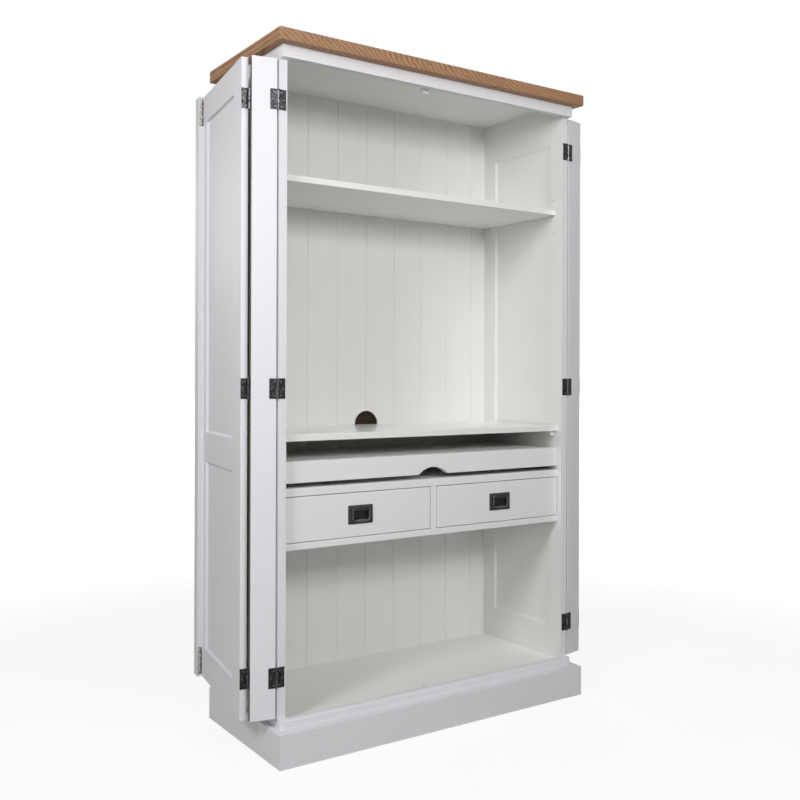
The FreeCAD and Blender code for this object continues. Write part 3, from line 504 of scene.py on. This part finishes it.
# Oiled oak: boards side by side, with a steep grain that runs from front to back.
oakLook = {
    "pale": (0.51, 0.285, 0.150),
    "middle": (0.40, 0.214, 0.108),
    "dark": (0.180, 0.083, 0.038),
    "red": (0.42, 0.190, 0.095),
    "board": 0.142,
    "level": 1.98,            # the middle of the top's thickness
    "lean": (1.2, 2.2),       # how far the rings lean over, left and right
    "leanEnds": (0.10, 0.50),
    "slow": 0.11,             # the rings lie farther apart at the right end
    "slowEnds": (0.15, 0.60),
    "broad": 52.0,            # rings to a metre
    "fine": 150.0,
    "pores": 210.0,
    "bow": 9.0,               # how much they bend through the thickness
    "swing": (6.0, 0.9, 16.0),        # slow bends of the rings
    "swingShares": (3.0, 7.0),        # of the broad rings and of the fine ones
    "wobble": (30.0, 2.4, 34.0),      # and quick ones
    "wobbleShares": (0.9, 2.2),
    "drift": (9.0, 1.5, 3.0),
    "calm": (0.30, 0.52),     # the figure comes and goes along the top
    "strength": (0.66, 0.32),
    "under": 1.9685,          # below this edge it hardly shows
    "underLoss": 0.65,
    "redSpread": (0.48, 0.66),
    "redShare": 0.55,
    "poreSpread": (0.36, 0.50),
    "poreShare": 0.42,
    "poreDeep": 0.00012,
    "ringDeep": 0.00005,
}


def makeOak():
    finish = Finish("oak_oiled")
    look = oakLook
    x, y, z = finish.x, finish.y, finish.z
    board = finish.maths("FLOOR", x / look["board"] + 0.5)
    lot = finish.node("ShaderNodeTexWhiteNoise", {"noise_dimensions": "1D"}, {"W": board})
    left, right = look["lean"]
    lean = left + (right - left) * finish.smooth(x, *look["leanEnds"])
    up = z - look["level"]
    slow = finish.smooth(x, *look["slowEnds"]) * look["slow"]
    run = x - slow + up * lean - up * up * look["bow"]
    swing = finish.cloud(finish.scaled(finish.place, look["swing"]))
    wobble = finish.cloud(finish.scaled(finish.place, look["wobble"]), 1.0, 3.0, 0.6)
    broad, fine = [run * look[rings] + swing * swung + wobble * wobbled
                   for rings, swung, wobbled in zip(("broad", "fine"), look["swingShares"],
                                                    look["wobbleShares"])]
    broad = finish.maths("FRACT", broad + lot)
    fine = finish.maths("FRACT", fine)
    pale, middle, dark = look["pale"], look["middle"], look["dark"]
    wide = finish.ramp(broad, [(0.0, pale), (0.30, pale), (0.60, middle), (0.86, dark),
                               (1.0, pale)])
    drift = finish.cloud(finish.scaled(finish.place, look["drift"]))
    least, more = look["strength"]
    strength = least + more * finish.smooth(drift, *look["calm"])
    strength = strength * (1.0 - look["underLoss"] * (z < look["under"]))
    figure = finish.blend(strength, (*middle, 1), wide)
    thin = finish.ramp(fine, [(0.0, grey(1.0)), (0.50, grey(0.94)), (0.85, grey(0.72)),
                              (1.0, grey(1.0))])
    figure = finish.blend(strength * 0.8, figure, thin, "MULTIPLY")
    patch = finish.cloud(finish.combine(run * 60.0, y * 4.0, z * 45.0), 1.0, 3.0, 0.6)
    warm = finish.smooth(patch, *look["redSpread"]) * look["redShare"]
    figure = finish.blend(warm, figure, (*look["red"], 1))
    # pores are short dashes along the grain
    fleck = finish.cloud(finish.combine(run * look["pores"], y * 26.0, z * 60.0),
                         1.0, 3.0, 0.65)
    full, none = look["poreSpread"]
    pore = finish.ramp(fleck, [(full, grey(1.0)), (none, grey(0.0))])
    colour = finish.blend(pore * look["poreShare"], figure, (*dark, 1))
    cloud = finish.cloud(finish.place, 5.0, 3.0, 0.6)
    colour = finish.tinted(colour, 0.86 + lot * 0.08 + cloud * 0.20)
    height = fine * look["ringDeep"] - pore * look["poreDeep"]
    roughness = 0.46 + pore * 0.16 + cloud * 0.08
    return finish.finishWith(colour, roughness, finish.bump(height, 1.0))


# Bare softwood, for the glue blocks and the bearer in the plinth.
softwoodLook = {
    "wander": (3.0, 3.0, 20.0),
    "rings": 90.0,            # to a metre of height
    "ringShades": [(0.0, (0.60, 0.44, 0.27)), (0.7, (0.48, 0.31, 0.16)),
                   (0.9, (0.33, 0.19, 0.09)), (1.0, (0.58, 0.42, 0.25))],
    "ringDeep": 0.00005,
    "fibres": (20.0, 300.0, 300.0),
    "fibreDeep": 0.00012,
}


def makeRawWood():
    finish = Finish("softwood_bare")
    look = softwoodLook
    wander = finish.cloud(finish.scaled(finish.place, look["wander"]))
    lines = finish.maths("FRACT", finish.z * look["rings"] + finish.y * 3.0 + wander * 3.0)
    colour = finish.ramp(lines, look["ringShades"])
    fibres = finish.cloud(finish.scaled(finish.place, look["fibres"]), 1.0, 3.0, 0.6)
    height = lines * look["ringDeep"] + fibres * look["fibreDeep"]
    return finish.finishWith(colour, 0.62 + fibres * 0.15, finish.bump(height, 1.0))


# Metals: each with a mottled colour, its own roughness and a little relief.
metalLook = {
    "hinge_iron": {"low": (0.010, 0.0105, 0.012), "high": (0.195, 0.195, 0.205), "metallic": 0.9,
                   "rough": (0.18, 0.38), "patch": 190.0, "relief": 0.00018,
                   "spread": (0.42, 0.72)},
    "pull_iron": {"low": (0.014, 0.0145, 0.016), "high": (0.055, 0.056, 0.061),
                  "metallic": 0.35, "rough": (0.30, 0.46), "patch": 210.0, "relief": 0.00012,
                  "spread": (0.30, 0.75)},
    # painted highlight: the bails are a paler copy of the pull iron, for the light along their
    # bars
    "bail_iron": {"low": (0.085, 0.085, 0.09), "high": (0.20, 0.20, 0.21),
                  "metallic": 0.6, "rough": (0.26, 0.38), "patch": 210.0, "relief": 0.00006,
                  "spread": (0.30, 0.75)},
    "bolt_nickel": {"low": (0.36, 0.34, 0.31), "high": (0.74, 0.73, 0.70), "metallic": 0.9,
                    "rough": (0.30, 0.50), "patch": 140.0, "relief": 0.00005,
                    "spread": (0.26, 0.50)},
    "runner_steel": {"low": (0.40, 0.41, 0.43), "high": (0.66, 0.67, 0.68), "metallic": 1.0,
                     "rough": (0.28, 0.44), "patch": 60.0, "relief": 0.00003,
                     "spread": (0.35, 0.65)},
    "pin_steel": {"low": (0.52, 0.52, 0.53), "high": (0.74, 0.74, 0.74), "metallic": 1.0,
                  "rough": (0.20, 0.34), "patch": 250.0, "relief": 0.00002,
                  "spread": (0.35, 0.65)},
    # painted shade for the flush screws' cross and ring
    "screw_recess": {"low": (0.006, 0.006, 0.006), "high": (0.020, 0.019, 0.018),
                     "metallic": 0.3, "rough": (0.50, 0.70), "patch": 420.0,
                     "relief": 0.00001, "spread": (0.34, 0.66)},
    "screw_steel": {"low": (0.10, 0.10, 0.105), "high": (0.42, 0.42, 0.43), "metallic": 0.9,
                    "rough": (0.24, 0.44), "patch": 420.0, "relief": 0.00003,
                    "spread": (0.34, 0.66)},
}


# The knuckles are painted lighter in patches: partly the black worn off them, partly a painted
# highlight along each knuckle.
wornGlintLook = {
    "reach": 0.0034,          # from the axis
    "colour": (0.42, 0.42, 0.44),
    "share": 0.45,
    "spread": (0.40, 0.56),
}


def wornGlintKnuckles(finish, mottle):
    across = finish.maths("ABSOLUTE", finish.x)
    near = []
    for spot in (doors["caseAxis"], stripPlace @ Vector((*doors["foldAxis"], 0))):
        right, up = across + spot[0], finish.y - spot[1]
        near.append(finish.maths("SQRT", right * right + up * up))
    knuckle = finish.maths("MINIMUM", *near) < wornGlintLook["reach"]
    return knuckle * finish.smooth(mottle, *wornGlintLook["spread"]) * wornGlintLook["share"]


def mottled(finish, patch):
    coarse = finish.cloud(finish.place, patch, 4.0, 0.65, 0.6)
    fine = finish.cloud(finish.place, patch * 5.0)
    return coarse, fine, coarse * 0.75 + fine * 0.25


def makeMetal(name):
    look = metalLook[name]
    finish = Finish(name + "_metal", metallic=look["metallic"])
    coarse, fine, mottle = mottled(finish, look["patch"])
    low, high = look["spread"]
    colour = finish.ramp(mottle, [(low, look["low"]), (high, look["high"])])
    if name == "hinge_iron":
        # painted highlight and wear on the knuckles
        colour = finish.blend(wornGlintKnuckles(finish, mottle), colour, (*wornGlintLook["colour"], 1))
    smoothest, roughest = look["rough"]
    roughness = smoothest + fine * (roughest - smoothest)
    height = coarse * look["relief"] + fine * (look["relief"] * 0.3)
    return finish.finishWith(colour, roughness, finish.bump(height, 1.0))


# The bolt plates sit in a routed seat. Along each plate's inner edge a dark brown line is
# painted, partly the seat's bare wood side and partly painted shade in the gap.
plateLook = {
    "low": (0.10, 0.085, 0.065),
    "high": (0.70, 0.68, 0.64),
    "seat": (0.085, 0.045, 0.032),
    "seatEdge": -0.1842,      # closed, along Y
    "patch": 150.0,
    "spread": (0.36, 0.52),
}


def makeBoltPlate():
    look = plateLook
    finish = Finish("bolt_plate_metal", metallic=0.85)
    coarse, fine, mottle = mottled(finish, look["patch"])
    low, high = look["spread"]
    colour = finish.ramp(mottle, [(low, look["low"]), (high, look["high"])])
    heading = leafPlace.to_3x3() @ Vector((0, 1, 0))
    depth = finish.along(heading) - heading.dot(leafPlace.to_translation())
    # painted shade with bare wood: past the seat edge the plate is coloured dark brown
    seat = depth < look["seatEdge"]
    colour = finish.blend(seat, colour, (*look["seat"], 1))
    height = coarse * 0.00006 - seat * 0.0006
    return finish.finishWith(colour, 0.30 + fine * 0.2 + seat * 0.35, finish.bump(height, 1.0))


# Painted shade: a drawer pull's dish is coloured darker than its plate, for the shade down in
# the hollow.
dishShadeLook = {
    "plate": ((0.022, 0.023, 0.025), (0.095, 0.097, 0.106)),
    "dish": ((0.010, 0.010, 0.011), (0.050, 0.051, 0.056)),
    "spread": (0.30, 0.75),
    "edge": (-0.1688, -0.1655),
    "patch": 210.0,
}


def makeDishShadePull():
    look = dishShadeLook
    finish = Finish("drawer_pull_metal", metallic=0.35)
    coarse, fine, mottle = mottled(finish, look["patch"])
    low, high = look["spread"]
    plate, dish = [finish.ramp(mottle, [(low, look[part][0]), (high, look[part][1])])
                   for part in ("plate", "dish")]
    # painted shade, darker down in the dish
    colour = finish.blend(finish.smooth(finish.y, *look["edge"]), plate, dish)
    height = coarse * 0.00012 + fine * 0.00004
    return finish.finishWith(colour, 0.28 + fine * 0.16, finish.bump(height, 1.0))


# White nylon: shelf blocks, glides and bolt keeps, with a moulded skin.
nylonLook = {
    "shades": ((0.87, 0.87, 0.85), (0.92, 0.92, 0.90)),
    "grain": 300.0,
    "relief": 0.00004,
}


def makeNylon():
    finish = Finish("nylon_white")
    grain = finish.cloud(finish.place, nylonLook["grain"], 3.0, 0.6)
    dull, pale = nylonLook["shades"]
    colour = finish.ramp(grain, [(0.3, dull), (0.7, pale)])
    return finish.finishWith(colour, 0.34 + grain * 0.12,
                             finish.bump(grain, nylonLook["relief"]))


paints = makePaints()
looks = dict(paints, back=makeBackPaint(), oak=makeOak(), raw=makeRawWood(), nylon=makeNylon(),
             boltPlate=makeBoltPlate(), drawerPull=makeDishShadePull())
for name in metalLook:
    looks[name] = makeMetal(name)
print("finishes made:", len(looks))


dressed = {
    "oak": ["oak_top"],
    "insidePaint": ["ceiling_panel", "floor_panel", "upper_shelf", "tray_board",
                    "drawer_case_boards"],
    "deskPaint": ["desk_shelf"],
    "insideUprightPaint": ["drawer_divider"],
    "levelPaint": ["frieze", "base_rail"],
    "frontPaint": ["drawer_rails", "tray_apron", "left_drawer_front", "right_drawer_front"],
    "sidePaint": ["left_side_frame", "right_side_frame"],
    "sidePanelPaint": ["side_panels", "side_beads"],
    "leftStripPaint": ["left_stile"],
    "rightStripPaint": ["right_stile"],
    "uprightPaint": ["left_leaf_panels", "right_leaf_panels", "meeting_batten"],
    "beadPaint": ["left_leaf_beads", "right_leaf_beads"],
    "leftLeafPaint": ["left_leaf_frame"],
    "rightLeafPaint": ["right_leaf_frame"],
    "back": ["back_panel"],
    "plinthPaint": ["plinth_boards"],
    "raw": ["plinth_bearer", "plinth_blocks"],
    "drawerPaint": ["left_drawer_box", "left_drawer_bottom", "right_drawer_box",
                    "right_drawer_bottom"],
    "nylon": ["shelf_blocks", "runner_glides", "bolt_keeps"],
    "pin_steel": ["shelf_pins"],
    "runner_steel": ["case_runners", "left_drawer_runners", "right_drawer_runners",
                     "tray_runners"],
    "hinge_iron": ["case_hinges", "left_stile_hinges", "right_stile_hinges",
                   "left_leaf_hinges", "right_leaf_hinges"],
    "drawerPull": ["left_drawer_pull", "right_drawer_pull"],
    "pull_iron": ["left_door_pull", "right_door_pull"],
    "bail_iron": ["left_drawer_bail", "right_drawer_bail", "left_door_bail",
                  "right_door_bail"],
    "boltPlate": ["bolt_plates"],
    "bolt_nickel": ["top_bolt", "bottom_bolt"],
}

for look, nodes in dressed.items():
    for node in nodes:
        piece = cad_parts[node]
        if not piece.material_slots:
            piece.data.materials.append(looks[look])
        for slot in piece.material_slots:
            slot.material = looks[look]
bare = set(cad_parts) - {node for nodes in dressed.values() for node in nodes}
print("CAD pieces dressed, left out:", sorted(bare))


# Screws: countersunk heads with a cross. On the pulls they are a little domed. On the
# hinges they lie flush, because two closed plates leave 0.1 mm between them, and there a
# near-black metal paints the shade of the cross and of the ring round the head.
screwLook = {
    "crown": 0.00045,         # how far the middle stands above the rim
    "rim": 0.00015,
    "flushRim": 0.00003,
    "ring": 0.93,             # beyond this share of the head it is dark
    "arm": 0.16,              # half width of the cross, as a share of the head
    "armReach": 0.62,
    "armDeep": 0.0011,
    "rings": (0.14, 0.30, 0.46, 0.60, 0.66, 0.80, 0.93, 1.0),
    "segments": 24,
    "turns": (0.7, 1.9),      # of the first cross, and from each to the next
}


def addScrew(mesh, spot, outward, radius, turn, flush):
    outward = Vector(outward).normalized()
    sideways = outward.orthogonal().normalized()
    sideways.rotate(Matrix.Rotation(turn, 3, outward))
    upwards = outward.cross(sideways)
    look = screwLook
    rim = look["flushRim"] if flush else look["rim"]

    def inCross(a, b):
        return (abs(a) < look["arm"] and abs(b) < look["armReach"]
                or abs(b) < look["arm"] and abs(a) < look["armReach"])

    def level(a, b):
        if flush:
            return rim
        deep = max(0.0, 1 - a * a - b * b) * look["crown"] + rim
        return deep - look["armDeep"] if inCross(a, b) else deep

    def corner(a, b, lift):
        return mesh.verts.new(spot + (sideways * a + upwards * b) * radius + outward * lift)

    middle = corner(0, 0, level(0, 0))
    rings = []
    for ring in look["rings"]:
        loop = []
        for i in range(look["segments"]):
            angle = 2 * math.pi * i / look["segments"]
            a, b = ring * math.cos(angle), ring * math.sin(angle)
            loop.append(corner(a, b, level(a, b)))
        rings.append(loop)
    skirt = [mesh.verts.new(v.co - outward * rim * 2) for v in rings[-1]]
    rings.append(skirt)
    count = look["segments"]
    faces = [mesh.faces.new((middle, rings[0][i], rings[0][(i + 1) % count]))
             for i in range(count)]
    for inner, outer in zip(rings, rings[1:]):
        for i in range(count):
            j = (i + 1) % count
            faces.append(mesh.faces.new((inner[i], outer[i], outer[j], inner[j])))
    # painted shade: on flush heads the cross and the ring take the near-black finish
    if flush:
        for face in faces:
            off = (face.calc_center_median() - spot) / radius
            a, b = off.dot(sideways), off.dot(upwards)
            dark = inCross(a, b) or math.hypot(a, b) > look["ring"]
            face.material_index = 1 if dark else 0


def finishMesh(mesh, name, look, body, smooth=True):
    data = bpy.data.meshes.new(name)
    bmesh.ops.recalc_face_normals(mesh, faces=mesh.faces)
    mesh.to_mesh(data)
    mesh.free()
    for face in data.polygons:
        face.use_smooth = smooth
    data.materials.append(looks[look])
    piece = bpy.data.objects.new(name, data)
    bpy.context.scene.collection.objects.link(piece)
    if smooth:
        data.set_sharp_from_angle(angle=math.radians(38))
    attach(piece, body)
    return piece


def screwSet(name, body, screws, look="screw_steel", flush=True):
    # screws: (spot, direction it faces, head radius)
    mesh = bmesh.new()
    first, more = screwLook["turns"]
    for i, (spot, outward, radius) in enumerate(screws):
        addScrew(mesh, Vector(spot), Vector(outward), radius, first + more * i, flush)
    piece = finishMesh(mesh, name, look, body)
    if flush:
        piece.data.materials.append(looks["screw_recess"])


def hingeScrews(start, run, outward, reaches, place, side):
    # start is a point of the plate's face at the hinge axis, run points along the plate
    found = []
    turn = place if side > 0 else mirrorX @ place
    for level in hingeLook["levels"]:
        spots = [(reaches[0], hingeLook["pair"]), (reaches[0], -hingeLook["pair"]),
                 (reaches[1], 0.0)]
        for reach, lift in spots:
            spot = Vector(start) + Vector(run) * reach + Vector((0, 0, level + lift))
            found.append((turn @ spot, turn.to_3x3() @ Vector(outward), hingeLook["head"]))
    return found


def addHingeScrews():
    axisX = doors["caseAxis"][0]
    foldY = doors["foldAxis"][1]
    plate = hingeLook["plate"]
    onCase = ((axisX, hingeLook["caseFace"] - plate, 0), (1, 0, 0), (0, -1, 0),
              hingeLook["casePlate"], unmoved)
    onStrip = ((axisX, doors["inner"] + plate, 0), (1, 0, 0), (0, 1, 0),
               hingeLook["casePlate"], stripPlace)
    onFold = ((hingeLook["stripEdge"] + plate, foldY, 0), (0, 1, 0), (1, 0, 0),
              hingeLook["foldPlate"], stripPlace)
    onLeaf = ((doors["leafNear"] - plate, foldY, 0), (0, 1, 0), (-1, 0, 0),
              hingeLook["foldPlate"], leafPlace)
    screwSet("case_hinge_screws", "case", hingeScrews(*onCase, 1) + hingeScrews(*onCase, -1))
    for name, side in (("left", 1), ("right", -1)):
        screwSet(name + "_strip_hinge_screws", name + "_fold_strip",
                 hingeScrews(*onStrip, side) + hingeScrews(*onFold, side))
        screwSet(name + "_leaf_hinge_screws", name + "_door_leaf",
                 hingeScrews(*onLeaf, side))


# Pulls: a screw in each corner of the plate, in the same black finish.
pullLook = {
    "head": 0.0025,
    "halfWide": 0.0357,       # from the middle of the plate to a screw
    "halfTall": 0.0236,
    "plate": 0.0019,          # how far the bevel stands out there
    "slope": 0.23,
    "drawerX": 0.2635,
    "drawerZ": 0.6575,
    "drawerFace": -0.168,
    "doorX": -0.0405,
    "doorZ": 1.0,
}


def addPullScrews():
    look = pullLook
    halfWide, halfTall = look["halfWide"], look["halfTall"]
    for name, side in (("left", -1), ("right", 1)):
        face = look["drawerFace"] - look["plate"]
        screws = [((side * look["drawerX"] + a * halfWide, face, look["drawerZ"] + b * halfTall),
                   (0, -1, b * look["slope"]), look["head"]) for a in (-1, 1) for b in (-1, 1)]
        screwSet(name + "_drawer_pull_screws", name + "_drawer", screws,
                 "pull_iron", False)
        turn = leafPlace if side < 0 else mirrorX @ leafPlace
        face = doors["outer"] - look["plate"]
        screws = []
        for a in (-1, 1):
            for b in (-1, 1):
                spot = Vector((look["doorX"] + a * halfTall, face, look["doorZ"] + b * halfWide))
                outward = turn.to_3x3() @ Vector((a * look["slope"], -1, 0))
                screws.append((turn @ spot, outward, look["head"]))
        screwSet(name + "_door_pull_screws", name + "_door_leaf", screws,
                 "pull_iron", False)


addHingeScrews()
addPullScrews()
print("screws driven")


# Floor, light and camera.
studio = {
    "floor": 40.0,            # its half width
    "floorShades": (0.50, 0.55),
    "floorWhite": 0.72,       # how much of the floor is plain white to the eye
    "floorGlow": 1.2,
    "floorFade": (1.4, 4.0),  # where the floor turns wholly white
    "worldLight": 0.01,
    "mirroredLight": 0.55,    # what the metal and the gloss see of the room
    "aim": (0, -0.1, 1.2),
    "lamps": {
        "side": {"place": (-2.64, -1.18, 2.20), "size": 0.7, "power": 34.0},
        "middle": {"place": (0.10, -3.43, 2.16), "size": 0.7, "power": 40.0},
        "front": {"place": (-1.90, -3.00, 2.00), "size": 1.4, "power": 17.0},
        "top": {"place": (-0.30, -1.90, 3.40), "size": 1.6, "power": 11.5},
        "left": {"place": (-3.60, 0.10, 0.85), "size": 1.6, "power": 15.0},
        "behind": {"place": (-0.95, 2.90, 1.95), "size": 0.8, "power": 3.8},
        "back": {"place": (2.30, 2.80, 1.70), "size": 2.0, "power": 46.0},
    },
}


def seenShare(maker):
    # 1 for the rays that show the background directly or through glass
    seen = [maker.node("ShaderNodeLightPath", output=ray)
            for ray in ("Is Camera Ray", "Is Transmission Ray")]
    return maker.maths("MAXIMUM", *seen)


def addStagePiece(mesh, name, material):
    data = bpy.data.meshes.new(name)
    mesh.to_mesh(data)
    mesh.free()
    data.materials.append(material)
    piece = bpy.data.objects.new(name, data)
    bpy.context.scene.collection.objects.link(piece)


def makeFloor():
    finish = Finish("floor_pale", roughness=0.9)
    grain = finish.cloud(finish.place, 3.0)
    dull, pale = studio["floorShades"]
    finish.finishWith(finish.ramp(grain, [(0.3, grey(dull)), (0.7, grey(pale))]))
    glow = finish.node("ShaderNodeEmission", None, {"Strength": studio["floorGlow"]})
    near, far = studio["floorFade"]
    reach = finish.maths("SQRT", finish.x * finish.x + finish.y * finish.y)
    white = studio["floorWhite"]
    share = white + (1.0 - white) * finish.smooth(reach, near, far)
    finish.mixInto(seenShare(finish) * share, glow)
    mesh = bmesh.new()
    bmesh.ops.create_grid(mesh, x_segments=2, y_segments=2, size=studio["floor"])
    addStagePiece(mesh, "studio_floor", finish.material)


# Painted shade: a small near-black card just behind the cable hole stands in for the dark room
# behind the cupboard.
shadeCardLook = {
    "height": 0.896,
    "radius": 0.050,
    "depth": 0.2380,
    "shades": ((0.012, 0.006, 0.004), (0.045, 0.024, 0.015)),
    "grain": (30.0, 30.0, 90.0),
}


def makeShadeCard():
    finish = Finish("card_painted_shade", roughness=0.9)
    grain = finish.cloud(finish.scaled(finish.place, shadeCardLook["grain"]), 1.0, 3.0, 0.6)
    deep, pale = shadeCardLook["shades"]
    finish.finishWith(finish.ramp(grain, [(0.3, deep), (0.7, pale)]))
    # only its face towards the cupboard is seen
    behind = finish.node("ShaderNodeNewGeometry", output="Backfacing")
    finish.mixInto(behind, finish.node("ShaderNodeBsdfTransparent"))
    mesh = bmesh.new()
    turned = Matrix.Translation((0, shadeCardLook["depth"], shadeCardLook["height"]))
    turned = turned @ Matrix.Rotation(math.radians(90), 4, "X")
    bmesh.ops.create_circle(mesh, cap_ends=True, segments=48, radius=shadeCardLook["radius"],
                            matrix=turned)
    addStagePiece(mesh, "studio_shade_card", finish.material)


def makeWorld():
    world = bpy.data.worlds.new("studio_world")
    bpy.context.scene.world = world
    world.use_nodes = True
    world.node_tree.nodes.clear()
    room = NodeMaker(world.node_tree)

    def light(strength):
        return room.node("ShaderNodeBackground", None,
                         {"Color": (1, 1, 1, 1), "Strength": strength})

    mirrored = room.node("ShaderNodeLightPath", output="Is Glossy Ray")
    unseen = room.mixShaders(mirrored, light(studio["worldLight"]),
                             light(studio["mirroredLight"]))
    whole = room.mixShaders(seenShare(room), unseen, light(1.0))
    output = room.tree.nodes.new("ShaderNodeOutputWorld")
    room.feed(output.inputs["Surface"], whole)


def addLamp(name, look):
    lamp = bpy.data.lights.new(name + "_light", "AREA")
    lamp.shape = "SQUARE"
    lamp.size = look["size"]
    lamp.energy = look["power"]
    holder = bpy.data.objects.new(name + "_light", lamp)
    holder.location = look["place"]
    aim = Vector(studio["aim"]) - Vector(look["place"])
    holder.rotation_euler = aim.to_track_quat("-Z", "Y").to_euler()
    bpy.context.scene.collection.objects.link(holder)


shot = {
    "place": (-1.7254, -2.5337, 1.0637),
    "heading": 34.064,        # degrees from +Y towards +X
    "roll": 0.188,
    "lens": 42.866,
    "sensor": 36.0,
    "shiftY": -0.0312,
    "clip": (0.05, 200.0),
}


def makeCamera():
    lens = bpy.data.cameras.new("shot")
    lens.lens = shot["lens"]
    lens.sensor_width = shot["sensor"]
    lens.shift_y = shot["shiftY"]
    lens.clip_start, lens.clip_end = shot["clip"]
    camera = bpy.data.objects.new("shot", lens)
    heading, roll = math.radians(shot["heading"]), math.radians(shot["roll"])
    ahead = Vector((math.sin(heading), math.cos(heading), 0))
    level = Vector((math.cos(heading), -math.sin(heading), 0))
    upwards = Vector((0, 0, 1))
    sideways = level * math.cos(roll) + upwards * math.sin(roll)
    upwards = upwards * math.cos(roll) - level * math.sin(roll)
    turned = Matrix((sideways, upwards, -ahead)).transposed().to_4x4()
    camera.matrix_world = Matrix.Translation(shot["place"]) @ turned
    bpy.context.scene.collection.objects.link(camera)
    bpy.context.scene.camera = camera


makeFloor()
makeShadeCard()
makeWorld()
for name, look in studio["lamps"].items():
    addLamp(name, look)
makeCamera()
bpy.context.scene.view_settings.view_transform = "Standard"
print("studio and camera ready")
